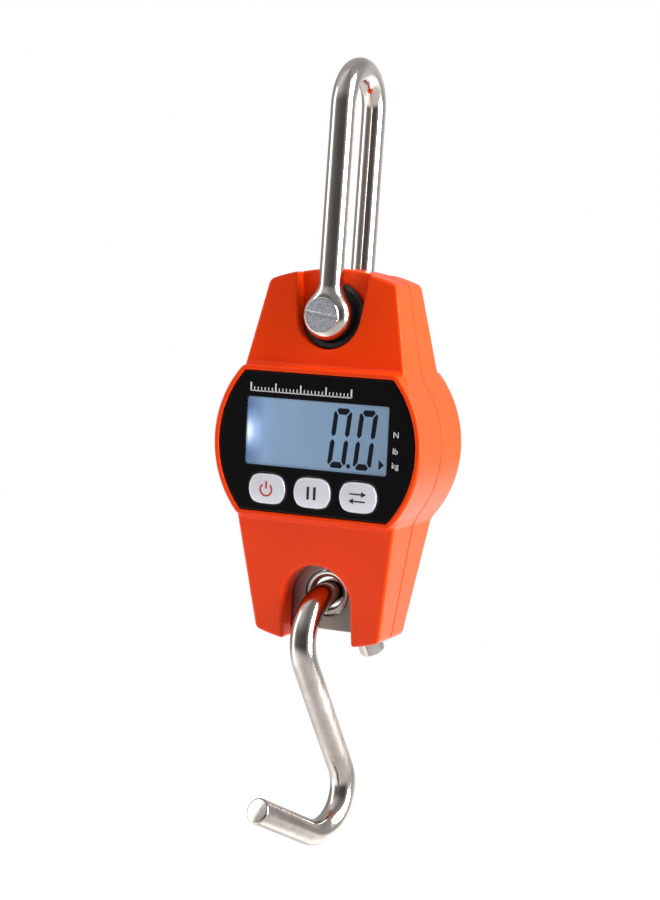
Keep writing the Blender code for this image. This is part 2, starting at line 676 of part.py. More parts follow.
def load_cell(parent):
    """The steel bar that carries the load, with a dog-bone cut that lets its waist flex."""
    outline = arc(0, PIN_Z, CELL_TOP_R, 0, 180, 16)
    outline += [(-CELL_TOP_R, CELL_NECK_Z), (-CELL_HALF_X, CELL_SHOULDER_Z)]
    outline += arc(CELL_CORNER - CELL_HALF_X, CELL_BOTTOM_Z + CELL_CORNER, CELL_CORNER, 180, 270, 4)
    outline += arc(CELL_HALF_X - CELL_CORNER, CELL_BOTTOM_Z + CELL_CORNER, CELL_CORNER, 270, 360, 4)
    outline += [(CELL_HALF_X, CELL_SHOULDER_Z), (CELL_TOP_R, CELL_NECK_Z)]
    cell = prism("load_cell", outline, -CELL_HALF_Y, CELL_HALF_Y)
    cut(cell, rod("cell_pin_hole", PIN_R + GAP, -6, 6, 0, PIN_Z, 20))
    cut(cell, rod("cell_bush_seat", BUSH_SEAT_R, -6, 6, 0, HOLE_Z, 28))
    for side in (-1, 1):
        cut(cell, rod("cell_flex_hole_%d" % side, FLEX_R, -6, 6, 0, side * FLEX_X, 20))
    cut(cell, box("cell_flex_slot", (-FLEX_SLOT_Z, -6, -FLEX_X), (FLEX_SLOT_Z, 6, FLEX_X)))
    seat = CELL_HALF_Y + GAP
    for key, z in CELL_SCREWS.items():
        cut(cell, rod("cell_screw_hole_" + key, CELL_SCREW_R + GAP, -6, 6, 0, z, 12))
        fixing = screw("cell_screw_" + key, CELL_HEAD_R, 1.4, CELL_SCREW_R, seat, CELL_SCREW_TIP, 0, z)
        finish(fixing, "zinc_steel", parent)
    finish(cell, "grey_steel", parent)
    inner = CELL_HALF_X + GAP
    outer = inner + GAUGE_THICK
    for name, low, high in (("strain_gauge_left", -outer, -inner), ("strain_gauge_right", inner, outer)):
        gauge = box(name, (low, -GAUGE_Y, -GAUGE_Z), (high, GAUGE_Y, GAUGE_Z))
        finish(gauge, "gauge_foil", parent)


def washers(parent):
    """The black spacers between the load cell and the eyes.

    Each has a collar round the lower part of its eye that fills the pocket. It slopes away upwards and
    leaves room at the top, where the shackle's leg swings.
    """
    for name, side in (("spacer_washer_front", -1), ("spacer_washer_rear", 1)):
        near = CELL_HALF_Y + GAP
        face = SHACKLE_LEG_Y - EYE_FLAT - GAP
        bore = PIN_R + GAP
        profile = [
            (bore, near),
            (WASHER_R, near),
            (WASHER_R, POCKET_FLOOR_Y + GAP),
            (COLLAR_R, POCKET_FLOOR_Y + GAP),
            (COLLAR_R, COLLAR_Y),
            (COLLAR_BORE_R, COLLAR_Y),
            (COLLAR_BORE_R, face),
            (bore, face),
        ]
        washer = lathe(name, [(r, side * y) for r, y in profile], "Y", (0, 0, PIN_Z), 28)
        low_z, end_z = PIN_Z - COLLAR_R, PIN_Z + COLLAR_END
        slope = (COLLAR_Y - face - GAP) / (end_z - low_z)

        def top(z):
            return side * (face + GAP + slope * (end_z - z))

        wide = 2 * COLLAR_R
        lower = [(-wide, low_z - 1), (wide, low_z - 1), (wide, end_z), (-wide, end_z)]
        upper = [(-wide, end_z - 0.5), (wide, end_z - 0.5), (wide, ABOVE), (-wide, ABOVE)]
        cut(washer, prism(name + "_slope", lower, side * OUTSIDE, top))
        cut(washer, prism(name + "_opening", upper, side * OUTSIDE, side * (face + GAP)))
        finish(washer, "black_plastic", parent)


def eye_profile():
    """A thick disc with round edges, as a profile that starts inside the pin's hole."""
    turns = [math.radians(90 * i / 4) for i in range(5)]
    corner_r, corner_y = EYE_R - EYE_EDGE, EYE_FLAT - EYE_EDGE
    rear = [(corner_r + EYE_EDGE * math.cos(t), corner_y + EYE_EDGE * math.sin(t)) for t in turns]
    front = [(r, -y) for r, y in reversed(rear)]
    inner = PIN_R / 2
    return [(inner, -EYE_FLAT)] + front + rear + [(inner, EYE_FLAT)]


def leant(point):
    """Turns a point about the pin by the shackle's small lean."""
    x, y, z = point
    up = z - PIN_Z
    return Vector((up * math.sin(SHACKLE_LEAN), y, PIN_Z + up * math.cos(SHACKLE_LEAN)))


def shackle_bow(parent):
    """A bent rod whose two legs end in round eyes for the pin."""
    bend_z = PIN_Z + SHACKLE_REACH - SHACKLE_ROD_R - SHACKLE_LEG_Y
    path = [(0, -SHACKLE_LEG_Y, PIN_Z + 1.0), (0, -SHACKLE_LEG_Y, (PIN_Z + bend_z) / 2)]
    path += [(0, -y, z) for y, z in arc(0, bend_z, SHACKLE_LEG_Y, 0, 180, 12)]
    path += [(0, SHACKLE_LEG_Y, (PIN_Z + bend_z) / 2), (0, SHACKLE_LEG_Y, PIN_Z + 1.0)]
    plane = Vector((math.cos(SHACKLE_LEAN), 0, -math.sin(SHACKLE_LEAN)))
    bow = sweep("shackle_bow", [leant(p) for p in path], plane, lambda i: SHACKLE_ROD_R)
    for name, y in (("bow_front_eye", -SHACKLE_LEG_Y), ("bow_rear_eye", SHACKLE_LEG_Y)):
        fuse(bow, lathe(name, eye_profile(), "Y", (0, y, PIN_Z), 24))
    cut(bow, rod("bow_pin_hole", PIN_R + GAP, -25, 25, 0, PIN_Z, 20))
    return finish(bow, "polished_steel", parent)


def pin_screw(parent):
    """A slotted screw that goes through the front eye and the load cell into the rear eye."""
    seat = -SHACKLE_LEG_Y - EYE_FLAT - GAP
    tip = SHACKLE_LEG_Y + EYE_FLAT - GAP
    profile = [
        (0, seat - HEAD_THICK),
        (HEAD_R - HEAD_EDGE, seat - HEAD_THICK),
        (HEAD_R, seat - HEAD_THICK + HEAD_EDGE),
        (HEAD_R, seat),
        (PIN_R, seat),
        (PIN_R, tip - PIN_EDGE),
        (PIN_R - PIN_EDGE, tip),
        (0, tip),
    ]
    pin = lathe("pin_screw", profile, "Y", (0, 0, PIN_Z), 24)
    half = HEAD_SLOT_W / 2
    groove = box("pin_slot", (-9, -OUTSIDE, -half), (9, seat - HEAD_THICK + HEAD_SLOT_D, half))
    groove.data.transform(Matrix.Rotation(HEAD_SLOT_TURN, 4, "Y"))
    groove.data.transform(Matrix.Translation(Vector((0, 0, PIN_Z)) * MM))
    cut(pin, groove)
    return finish(pin, "zinc_steel", parent)


def hook_bush(parent):
    """The polished wear ring in the load cell's lower hole, with its mouth flared at both faces."""
    half = CELL_HALF_Y - 0.05
    throat = []
    for i in range(4):
        turn = math.radians(90 * i / 3)
        inward = BUSH_FACE_R - (BUSH_FACE_R - BUSH_WAIST_R) * math.sin(turn)
        along = half - BUSH_FLARE * (1 - math.cos(turn))
        throat.append((inward, along))
    front = [(r, -y) for r, y in throat]
    profile = [(BUSH_R, -half)] + front + list(reversed(throat)) + [(BUSH_R, half)]
    return finish(lathe("hook_bush", profile, "Y", (0, 0, HOLE_Z), 24), "polished_steel", parent)


def hook_frame():
    """The hook's plane: its horizontal and upward directions, and its normal."""
    along = Vector((math.cos(HOOK_TURN), math.sin(HOOK_TURN), 0))
    normal = Vector((-math.sin(HOOK_TURN), math.cos(HOOK_TURN), 0))
    up = Vector((0, 0, 1)) * math.cos(HOOK_LEAN) + normal * math.sin(HOOK_LEAN)
    return along, up, along.cross(up)


def hook_top_centre():
    """The middle of the bend that runs through the bush. The hook rocks about it."""
    along, up, _ = hook_frame()
    drop = math.sqrt(HOOK_TOP_R**2 - HOOK_SHIFT**2)
    return Vector((0, 0, HOLE_Z)) + along * HOOK_SHIFT - up * drop


def s_hook(parent):
    """A rod bent into an S: a tail and a top bend through the bush, a shank, a low bend and a tip."""
    along, up, normal = hook_frame()
    shank = (math.sin(HOOK_SHANK_SLOPE), -math.cos(HOOK_SHANK_SLOPE))
    side = (math.cos(HOOK_SHANK_SLOPE), math.sin(HOOK_SHANK_SLOPE))
    start = 180 + math.degrees(HOOK_SHANK_SLOPE)
    top = arc(0, 0, HOOK_TOP_R, start - math.degrees(HOOK_TOP_SWEEP), start, 16)
    tail_turn = math.radians(start) - HOOK_TOP_SWEEP
    tail = (
        top[0][0] + HOOK_TAIL * math.sin(tail_turn),
        top[0][1] - HOOK_TAIL * math.cos(tail_turn),
    )
    foot = (top[-1][0] + HOOK_SHANK * shank[0], top[-1][1] + HOOK_SHANK * shank[1])
    centre = (foot[0] - HOOK_LOW_R * side[0], foot[1] - HOOK_LOW_R * side[1])
    begin = math.degrees(HOOK_SHANK_SLOPE)
    low = arc(*centre, HOOK_LOW_R, begin, begin - math.degrees(HOOK_LOW_SWEEP), 12)
    tip_turn = HOOK_SHANK_SLOPE - HOOK_LOW_SWEEP
    tip = (
        low[-1][0] + HOOK_TIP * math.sin(tip_turn),
        low[-1][1] - HOOK_TIP * math.cos(tip_turn),
    )
    flat = [tail] + top + low + [tip]
    flat = chamfered_ends(flat)
    middle = hook_top_centre()
    path = [middle + along * p + up * q for p, q in flat]
    last = len(path) - 1

    def radius_at(i):
        return HOOK_ROD_R - (HOOK_CHAMFER if i in (0, last) else 0.0)

    return finish(sweep("s_hook", path, normal, radius_at), "polished_steel", parent)


def chamfered_ends(flat):
    """Adds a point just inside each end of the path, where the chamfer begins."""

    def inside(end, towards):
        step = Vector(towards) - Vector(end)
        return tuple(Vector(end) + step.normalized() * HOOK_CHAMFER)

    first = inside(flat[0], flat[1])
    final = inside(flat[-1], flat[-2])
    return [flat[0], first] + flat[1:-1] + [final, flat[-1]]


# ---------------------------------------------------------------- battery side


def battery_tray(parent):
    tray = box("battery_tray", (-TRAY_X, TRAY_FLOOR, -TRAY_Z), (TRAY_X, TRAY_TOP, TRAY_Z))
    inner_x = TRAY_X - TRAY_WALL
    inner_z = TRAY_Z - TRAY_RIM
    space = box("tray_space", (-inner_x, TRAY_FLOOR + TRAY_BASE, -inner_z), (inner_x, OUTSIDE, inner_z))
    cut(tray, space)
    return finish(tray, "black_plastic", parent)


def batteries(parent):
    """Three AAA cells side by side, each the other way round to its neighbour."""
    for number, row in enumerate((1, 0, -1), 1):
        way = -1 if row == 0 else 1
        half = BATTERY_LONG / 2
        shoulder = half - NUB_LONG
        profile = [
            (0, -half),
            (BATTERY_R - 0.5, -half),
            (BATTERY_R, -half + 0.5),
            (BATTERY_R, shoulder - 0.6),
            (BATTERY_R - 0.7, shoulder),
            (NUB_R, shoulder),
            (NUB_R, half),
            (0, half),
        ]
        turned = [(r, way * (along + BATTERY_SHIFT)) for r, along in profile]
        centre = (0, BATTERY_Y, row * BATTERY_PITCH)
        cell = lathe("battery_%d" % number, turned, "X", centre, 20)
        finish(cell, "cell_wrap", parent)
        contacts(number, way, row * BATTERY_PITCH, parent)


def contacts(number, way, z, parent):
    """A coil spring on a cell's flat end and a plate on its nub."""
    inner = TRAY_X - TRAY_WALL - GAP
    near, far = sorted((way * inner, way * (inner - CONTACT_THICK)))
    low = (near, CONTACT_LOW_Y, z - CONTACT_Z)
    high = (far, CONTACT_HIGH_Y, z + CONTACT_Z)
    finish(box("contact_plate_%d" % number, low, high), "zinc_steel", parent)
    wall_end = inner - SPRING_WIRE
    flat_end = BATTERY_LONG / 2 - BATTERY_SHIFT + GAP + SPRING_WIRE
    steps = SPRING_TURNS * SPRING_STEPS
    bm = bmesh.new()
    rings = []
    for i in range(steps + 1):
        turn = 2 * math.pi * i / SPRING_STEPS
        share = i / steps
        along = wall_end + (flat_end - wall_end) * share
        coil = SPRING_WIDE_R + (SPRING_NARROW_R - SPRING_WIDE_R) * share
        outward = Vector((0, math.cos(turn), math.sin(turn)))
        centre = Vector((-way * along, SPRING_Y, z)) + outward * coil
        ring = []
        for k in range(SPRING_SIDES):
            spin = 2 * math.pi * k / SPRING_SIDES
            offset = outward * math.cos(spin) + Vector((1, 0, 0)) * math.sin(spin)
            ring.append(bm.verts.new((centre + offset * SPRING_WIRE) * MM))
        rings.append(ring)
    for a, b in zip(rings, rings[1:]):
        for k in range(SPRING_SIDES):
            m = (k + 1) % SPRING_SIDES
            bm.faces.new((a[k], a[m], b[m], b[k]))
    bm.faces.new(rings[0])
    bm.faces.new(rings[-1])
    finish(new_object("contact_spring_%d" % number, bm), "zinc_steel", parent)


def battery_door(parent):
    """A flush lid with two tongues along its top edge and a finger grip near its lower edge."""
    door = box("battery_door", (-DOOR_X, DOOR_INNER, -DOOR_Z), (DOOR_X, DOOR_BACK, DOOR_Z))
    for side in (-1, 1):
        x0, x1 = side * TONGUE_X - TONGUE_HALF, side * TONGUE_X + TONGUE_HALF
        neck = box("door_neck_%d" % side, (x0, 13.2, DOOR_Z - 1.6), (x1, DOOR_INNER + 0.2, DOOR_Z - GAP))
        tongue = box("door_tongue_%d" % side, (x0, 13.3, DOOR_Z - 1.0), (x1, 14.7, DOOR_Z + 1.8))
        fuse(door, neck, tongue)
    for i in range(3):
        z = GROOVE_Z + GROOVE_PITCH * i
        low, high = (-GROOVE_X, DOOR_BACK - GROOVE_D, z), (GROOVE_X, OUTSIDE, z + GROOVE_W)
        cut(door, box("door_groove_%d" % i, low, high))
    return finish(door, "orange", parent)


def wiring(parent):
    mirrored = [(x, y, -z) for x, y, z in BATTERY_LEAD]
    finish(lead("battery_lead_red", BATTERY_LEAD, LEAD_R), "lead_red", parent)
    finish(lead("battery_lead_black", mirrored, LEAD_R), "lead_black", parent)
    finish(lead("load_cell_cable", CELL_CABLE, CABLE_R), "white_plastic", parent)


def shell_screws(parent):
    for key, (x, z) in SHELL_SCREWS.items():
        name = "housing_screw_" + key
        fixing = screw(name, SHELL_HEAD_R, 1.5, SHELL_SCREW_R, SHELL_HEAD_Y, SHELL_SCREW_TIP, x, z)
        finish(fixing, "zinc_steel", parent)


# ---------------------------------------------------------------- assembly


def build():
    clear_scene()
    hang = pivot("shackle_frame", HANG)
    pin_axis = pivot("pin_axis", (0, 0, PIN_Z), hang)
    swing_axis = pivot("hook_swing_axis", (0, 0, HOLE_Z), pin_axis)
    rock_axis = pivot("hook_rock_axis", hook_top_centre(), swing_axis)
    door_axis = pivot("door_axis", (0, DOOR_BACK, DOOR_Z + GAP), pin_axis)
    shackle_bow(hang)
    pin_screw(hang)
    front_housing(pin_axis)
    rear_housing(pin_axis)
    faceplate(pin_axis)
    lcd_window(pin_axis)
    display_stack(pin_axis)
    main_board(pin_axis)
    load_cell(pin_axis)
    washers(pin_axis)
    battery_tray(pin_axis)
    batteries(pin_axis)
    wiring(pin_axis)
    shell_screws(pin_axis)
    battery_door(door_axis)
    hook_bush(swing_axis)
    s_hook(rock_axis)
    for name, x in BUTTON_X.items():
        slide = pivot(name + "_axis", (x, -BUTTON_FRONT, BUTTON_Z), pin_axis)
        push_button(name, x, slide)


build()
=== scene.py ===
"""The looks of a pocket hanging scale: moulded shells, display, buttons, polished shackle and hook.

Shapes are worked out in millimetres from the middle of the round display: X right, Y back, Z up.
Most solids are distance fields: a function that is negative inside the piece and positive outside.
"""

import json
import math

import bmesh
import bpy
import numpy as np
from mathutils import Matrix, Vector


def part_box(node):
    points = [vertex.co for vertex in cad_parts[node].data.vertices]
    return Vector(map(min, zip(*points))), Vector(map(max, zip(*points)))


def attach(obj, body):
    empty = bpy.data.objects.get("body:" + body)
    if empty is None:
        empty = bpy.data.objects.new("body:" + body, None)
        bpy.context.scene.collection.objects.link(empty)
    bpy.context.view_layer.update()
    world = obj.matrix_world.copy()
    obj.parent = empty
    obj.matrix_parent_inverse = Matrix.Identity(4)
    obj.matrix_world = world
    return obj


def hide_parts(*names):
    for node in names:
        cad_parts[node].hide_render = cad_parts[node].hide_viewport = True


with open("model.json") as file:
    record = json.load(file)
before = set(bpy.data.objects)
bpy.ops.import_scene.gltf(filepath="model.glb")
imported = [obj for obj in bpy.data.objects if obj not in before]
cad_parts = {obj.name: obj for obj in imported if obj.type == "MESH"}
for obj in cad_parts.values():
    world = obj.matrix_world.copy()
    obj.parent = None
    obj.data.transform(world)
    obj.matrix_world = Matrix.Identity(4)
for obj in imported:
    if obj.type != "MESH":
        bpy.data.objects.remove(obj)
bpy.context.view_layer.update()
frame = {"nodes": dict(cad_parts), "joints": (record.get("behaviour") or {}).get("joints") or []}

MM = 0.001
MIDDLE = Vector(
    (
        (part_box("faceplate")[0].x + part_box("faceplate")[1].x) / 2,
        (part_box("front_housing")[1].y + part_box("rear_housing")[0].y) / 2,
        (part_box("faceplate")[0].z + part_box("faceplate")[1].z) / 2,
    )
)


def local(point):
    """A point of the frame in millimetres from the middle of the display."""
    return (Vector(point) - MIDDLE) / MM


def box_mm(node):
    low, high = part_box(node)
    return local(low), local(high)


def joint(name):
    return next(j for j in frame["joints"] if j["name"] == name)


# ---- driving sizes

FRONT_LOW, FRONT_HIGH = box_mm("front_housing")
PLATE_LOW, PLATE_HIGH = box_mm("faceplate")
LCD_LOW, LCD_HIGH = box_mm("lcd_glass")
WINDOW_LOW, WINDOW_HIGH = box_mm("lcd_window")
DOOR_HIGH = box_mm("battery_door")[1]
PIN_LOW, PIN_HIGH = box_mm("pin_screw")
BOW_HIGH = box_mm("shackle_bow")[1]
BUSH_HIGH = box_mm("hook_bush")[1]
PIN_Z = local(joint("housing_swing")["pos_m"]).z
HOLE_Z = local(joint("hook_side_swing")["pos_m"]).z
ROCK_CENTRE = local(joint("hook_rock")["pos_m"])
ROCK_AXIS = Vector(joint("hook_rock")["axis"]).normalized()

DISC_R = FRONT_HIGH.x
DISC_FLAT_Z = 22.5
DISC_DEPTH = -FRONT_LOW.y
SEAM = 0.15
WALL = 2.2
EDGE = 0.9
CORNER = 1.1
BLEND = 1.3
GAP = 0.3
WEDGE_START = 12.0

# Shoulder and skirt: (half-width, height, depth) at the base and at the tip, and how far the end bows
TOP_BASE, TOP_TIP, TOP_RISE = (25.8, 21.4, 13.6), (20.45, 47.84, 9.9), 3.9
LOW_BASE, LOW_TIP, LOW_RISE = (25.5, 22.0, 15.1), (20.2, 57.4, 9.7), 3.3

POCKET_R = 10.0
POCKET_FLARE = math.radians(7)
POCKET_FLOOR, POCKET_BACK, POCKET_HOLE_R = 5.8, 3.3, 9.0
SLOT_R, SLOT_Z = 11.1, -47.1
SLOT_EDGE, SLOT_WALL = 1.0, 1.6
CELL_HALF_X, CELL_HALF_Y, CELL_TOP_R, CELL_BOTTOM_Z = 13.0, 2.8, 10.0, -56.6
CELL_NECK_Z, CELL_SHOULDER_Z, CELL_CORNER = 34.1, 27.5, 3.0
BONE_R, BONE_Z, BONE_GROOVE = 6.5, 7.0, 1.0

PLATE_R, PLATE_FLAT_Z = PLATE_HIGH.x, PLATE_HIGH.z
FLOOR_FRONT, FLOOR_BACK, REAR_FLOOR = 15.2, 13.7, 15.1
BUTTONS = ("button_power", "button_hold", "button_unit")
BUTTON_W, BUTTON_H, BUTTON_FLAT = 12.0, 9.0, 3.9
BUTTON_Z = (box_mm("button_hold")[0].z + box_mm("button_hold")[1].z) / 2
BUTTON_X = {name: (box_mm(name)[0].x + box_mm(name)[1].x) / 2 for name in BUTTONS}
BUTTON_FRONT = -box_mm("button_hold")[0].y
BUTTON_CROWN = 0.35
FLANGE_HALF_X, FLANGE_HALF_Z, FLANGE_FRONT, FLANGE_BACK = 6.7, 5.1, 13.4, 12.6
STEM_R, STEM_END = 1.6, 12.0
LID_HALF_Z, LID_CORNER, LID_FRONT = 17.2, 0.8, 15.4
TONGUE_X, TONGUE_HALF_X = 14.0, 3.0

# Bosses and holes inside the shells: a boss reaches in to its START depth, a hole out to its END depth
SHELL_SCREWS = [(-17.0, 30.0), (17.0, 30.0), (-16.7, -44.0), (16.7, -44.0)]
SCREW_BOSS_R, SCREW_HOLE_R, SCREW_HOLE_END = 3.7, 1.6, 7.6
SCREW_BORE_R, SCREW_SEAT = 2.7, 6.0
CELL_SCREWS = [(0, 23.6), (0, -28.0)]
CELL_BOSS_R, CELL_BOSS_START, CELL_HOLE_R, CELL_HOLE_END = 2.5, 3.1, 1.5, 8.6
POSTS = [(-26.3, 0), (26.3, 0)]
POST_R, POST_START, POST_HOLE_R, POST_HOLE_END = 2.2, 7.8, 1.4, 12.4

ROD_R = 3.6
LEG_Y = 11.3
SHACKLE_LEAN = math.radians(1.35)
EYE_R, EYE_FLAT, EYE_EDGE = 7.5, 4.4, 3.6
PIN_R = 3.5
HEAD_R, HEAD_THICK = 5.3, 1.0
HEAD_SLOT_W, HEAD_SLOT_D, HEAD_SLOT_TURN = 1.2, 0.6, math.radians(7)
NECK_BLEND = 2.4
WASHER_R = 8.6
COLLAR_R, COLLAR_BORE_R, COLLAR_Y, COLLAR_END = 9.7, 8.0, 10.6, 3.0

HOOK_ROD_R = 3.9
HOOK_TOP_R, HOOK_TOP_SWEEP = 14.9, math.radians(181)
HOOK_TAIL = 13.5
SHANK_SLOPE, SHANK = math.radians(26.5), 36.4
HOOK_LOW_R, HOOK_LOW_SWEEP = 12.5, math.radians(141.5)
HOOK_TIP = 24.8
HOOK_CHAMFER = 0.7
HOOK_SHANK_Z = -83.0


# ---- meshes


def linked(name, data):
    """A new object in the scene."""
    made = bpy.data.objects.new(name, data)
    bpy.context.scene.collection.objects.link(made)
    return made


def put(name, shape, body, material, stands_for=(), normals=None):
    """Makes a piece from (points, faces) in display millimetres and hangs it on its CAD body."""
    points, faces = shape
    mesh = bpy.data.meshes.new(name)
    mesh.from_pydata([tuple(p) for p in points], [], [tuple(f) for f in faces])
    mesh.transform(Matrix.Translation(MIDDLE) @ Matrix.Scale(MM, 4))
    mesh.shade_smooth()
    if normals is None:
        mesh.set_sharp_from_angle(angle=math.radians(35))
    else:
        mesh.normals_split_custom_set_from_vertices([tuple(n) for n in normals])
    mesh.materials.append(material)
    piece = linked(name, mesh)
    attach(piece, body)
    if stands_for:
        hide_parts(*stands_for)


def slope_of(field, points, reach=0.03):
    """The direction in which the field grows at each point, and how fast."""
    x, y, z = points.T
    grown = [
        field(x + reach, y, z) - field(x - reach, y, z),
        field(x, y + reach, z) - field(x, y - reach, z),
        field(x, y, z + reach) - field(x, y, z - reach),
    ]
    return np.stack(grown, 1) / (2 * reach)


def settle(field, points, step, rounds=3):
    """Moves points onto the surface where the field is zero."""
    for _ in range(rounds):
        value = field(*points.T)
        slope = slope_of(field, points)
        size = np.maximum((slope**2).sum(1), 0.2)
        move = slope * (value / size)[:, None]
        length = np.maximum(np.linalg.norm(move, axis=1), 1e-9)
        move *= np.minimum(1, 0.5 * step / length)[:, None]
        points = points - move
    return points


def skin(field, low, high, step):
    """Points and quads of the surface where the field is zero, one point for each grid cell it passes."""
    low = np.array(low, float) - 2.37 * step
    counts = np.ceil((np.array(high, float) + 2.37 * step - low) / step).astype(int) + 1
    lines = [low[a] + step * np.arange(counts[a]) for a in range(3)]
    grid = np.broadcast_to(field(*np.meshgrid(*lines, indexing="ij", sparse=True)), counts)
    inside = grid < 0
    cells = counts - 1
    cell_ids, crossings, quads = [], [], []
    for axis in range(3):
        side_1, side_2 = (axis + 1) % 3, (axis + 2) % 3
        near = [slice(None)] * 3
        far = [slice(None)] * 3
        near[axis] = slice(None, -1)
        far[axis] = slice(1, None)
        at = np.argwhere(inside[tuple(near)] != inside[tuple(far)])
        first = grid[tuple(at.T)]
        after = at.copy()
        after[:, axis] += 1
        second = grid[tuple(after.T)]
        place = at.astype(float)
        place[:, axis] += first / (first - second)
        around = []
        for move_1, move_2 in ((-1, -1), (0, -1), (0, 0), (-1, 0)):
            cell = at.copy()
            cell[:, side_1] += move_1
            cell[:, side_2] += move_2
            around.append((cell[:, 0] * cells[1] + cell[:, 1]) * cells[2] + cell[:, 2])
        around = np.stack(around, 1)
        around[first > 0] = around[first > 0][:, ::-1]
        quads.append(around)
        for column in range(4):
            cell_ids.append(around[:, column])
            crossings.append(place)
    ids = np.concatenate(cell_ids)
    used, index = np.unique(ids, return_inverse=True)
    sums = np.zeros((len(used), 3))
    np.add.at(sums, index, np.concatenate(crossings))
    points = sums / np.bincount(index)[:, None]
    points = low + points * step
    faces = np.searchsorted(used, np.concatenate(quads))
    return settle(field, points, step), faces


def evaluated(helper):
    """Points and faces of an object with its modifiers or extrusion applied. The object is removed."""
    result = helper.evaluated_get(bpy.context.evaluated_depsgraph_get()).to_mesh()
    points = np.empty(len(result.vertices) * 3)
    result.vertices.foreach_get("co", points)
    faces = [tuple(polygon.vertices) for polygon in result.polygons]
    bpy.data.objects.remove(helper)
    return points.reshape(-1, 3), faces


def thinned(points, faces, share):
    """The same surface with fewer triangles: flat areas lose most of them."""
    mesh = bpy.data.meshes.new("thinning")
    mesh.from_pydata(points.tolist(), [], faces.tolist())
    helper = linked("thinning", mesh)
    helper.modifiers.new("collapse", "DECIMATE").ratio = share
    result = evaluated(helper)
    bpy.data.meshes.remove(mesh)
    return result


def field_mesh(field, low, high, step, share):
    """Points, faces and normals of the surface where a field is zero, the normals from the field."""
    points, faces = skin(field, low, high, step)
    if share is not None:
        points, faces = thinned(points, faces, share)
        points = settle(field, points, step)
    normals = slope_of(field, points, 0.06)
    normals /= np.maximum(np.linalg.norm(normals, axis=1), 1e-9)[:, None]
    return points, faces, normals


def solid(name, node, field, step, share, body, material, box=None):
    """A piece from a distance field that stands for a CAD node, in the node's box unless one is given."""
    low, high = box or box_mm(node)
    points, faces, normals = field_mesh(field, tuple(low), tuple(high), step, share)
    put(name, (points, faces), body, material, [node], normals)


# ---- distance fields


def both(a, b, radius=0.0):
    """Where two shapes overlap, with the edge between them rounded."""
    if radius == 0:
        return np.maximum(a, b)
    outside = np.hypot(np.maximum(a + radius, 0), np.maximum(b + radius, 0))
    return np.minimum(np.maximum(a, b), -radius) + outside


def either(a, b, radius=0.0):
    """Two shapes together, with the corner between them filled."""
    return -both(-a, -b, radius)


def less(a, b, radius=0.0):
    """The first shape with the second cut out of it."""
    return both(a, -b, radius)


def cut(shape, outline, end, radius=0.0):
    """The shape with an outline cut out of it wherever end is negative too."""
    return less(shape, np.maximum(outline, end), radius)


def slab(value, low, high):
    return np.maximum(low - value, value - high)


def round_rect(x, z, half_x, low, high, corner):
    side_x = np.abs(x) - half_x
    side_z = np.abs(z - (low + high) / 2) - (high - low) / 2
    return both(side_x, side_z, corner)


def disc_2d(x, z, radius, flat, corner):
    return both(np.hypot(x, z) - radius, np.abs(z) - flat, corner)


def wedge(x, d, z, base, tip, rise):
    """The shoulder, or with z turned over the skirt: it narrows and thins towards a bowed end."""
    lean = (base[0] - tip[0]) / (tip[1] - base[1])
    sides = (np.abs(x) - base[0] + lean * (z - base[1])) / math.hypot(1, lean)
    radius = (tip[0] ** 2 + rise**2) / (2 * rise)
    end = np.hypot(x, z - (tip[1] + rise - radius)) - radius
    outline = np.maximum(both(sides, end, CORNER), WEDGE_START - z)
    slope = (base[2] - tip[2]) / (tip[1] - base[1])
    face = (d - base[2] + slope * (z - base[1])) / math.hypot(1, slope)
    return both(outline, face, EDGE)


def body_form(x, d, z):
    """The whole outer form of one half, d being the depth from the seam."""
    disc = both(disc_2d(x, z, DISC_R, DISC_FLAT_Z, CORNER), d - DISC_DEPTH, EDGE)
    top = wedge(x, d, z, TOP_BASE, TOP_TIP, TOP_RISE)
    low = wedge(x, d, -z, LOW_BASE, LOW_TIP, LOW_RISE)
    return either(either(disc, top, BLEND), low, BLEND)


def leaned(x, z, angle):
    """Distances across and along a line through the pin that leans to the right."""
    z = z - PIN_Z
    return x * math.cos(angle) - z * math.sin(angle), x * math.sin(angle) + z * math.cos(angle)


def pocket_2d(x, z):
    """A round-bottomed pocket whose sides flare out upwards."""
    across, along = leaned(np.abs(x), z, POCKET_FLARE)
    return np.where(along > 0, across, np.hypot(across, along)) - POCKET_R


def slot_2d(x, z):
    return np.where(z > SLOT_Z, np.hypot(x, z - SLOT_Z), np.abs(x)) - SLOT_R


def button_2d(x, z, name, grow=0.0):
    """A button's outline: flat top and bottom edges and bowed ends."""
    half_w, half_h = BUTTON_W / 2, BUTTON_H / 2
    bulge = half_w - BUTTON_FLAT
    radius = (half_h**2 + bulge**2) / (2 * bulge)
    off = np.abs(x - BUTTON_X[name])
    ends = np.hypot(off - half_w + radius, z - BUTTON_Z) - radius
    ends = np.where(off > half_w - radius, ends, -1.0 + 0 * z)
    return both(ends, np.abs(z - BUTTON_Z) - half_h, 1.2) - grow


def bosses(x, z, places, radius):
    """Round bars or holes at (x, z) places."""
    return np.minimum.reduce([np.hypot(x - px, z - pz) for px, pz in places]) - radius


def shell(x, d, z, floor):
    """The outer form of one half, and the hollow inside it."""
    form = body_form(x, d, z)
    hollow = np.maximum(form + WALL, d - floor)
    hollow = cut(hollow, pocket_2d(x, z) - WALL, POCKET_BACK - d)
    hollow = cut(hollow, slot_2d(x, z) - SLOT_WALL, CELL_HALF_Y + GAP - d)
    hollow = less(hollow, bosses(x, z, SHELL_SCREWS, SCREW_BOSS_R), 0.8)
    return both(form, SEAM - d, 0.25), hollow


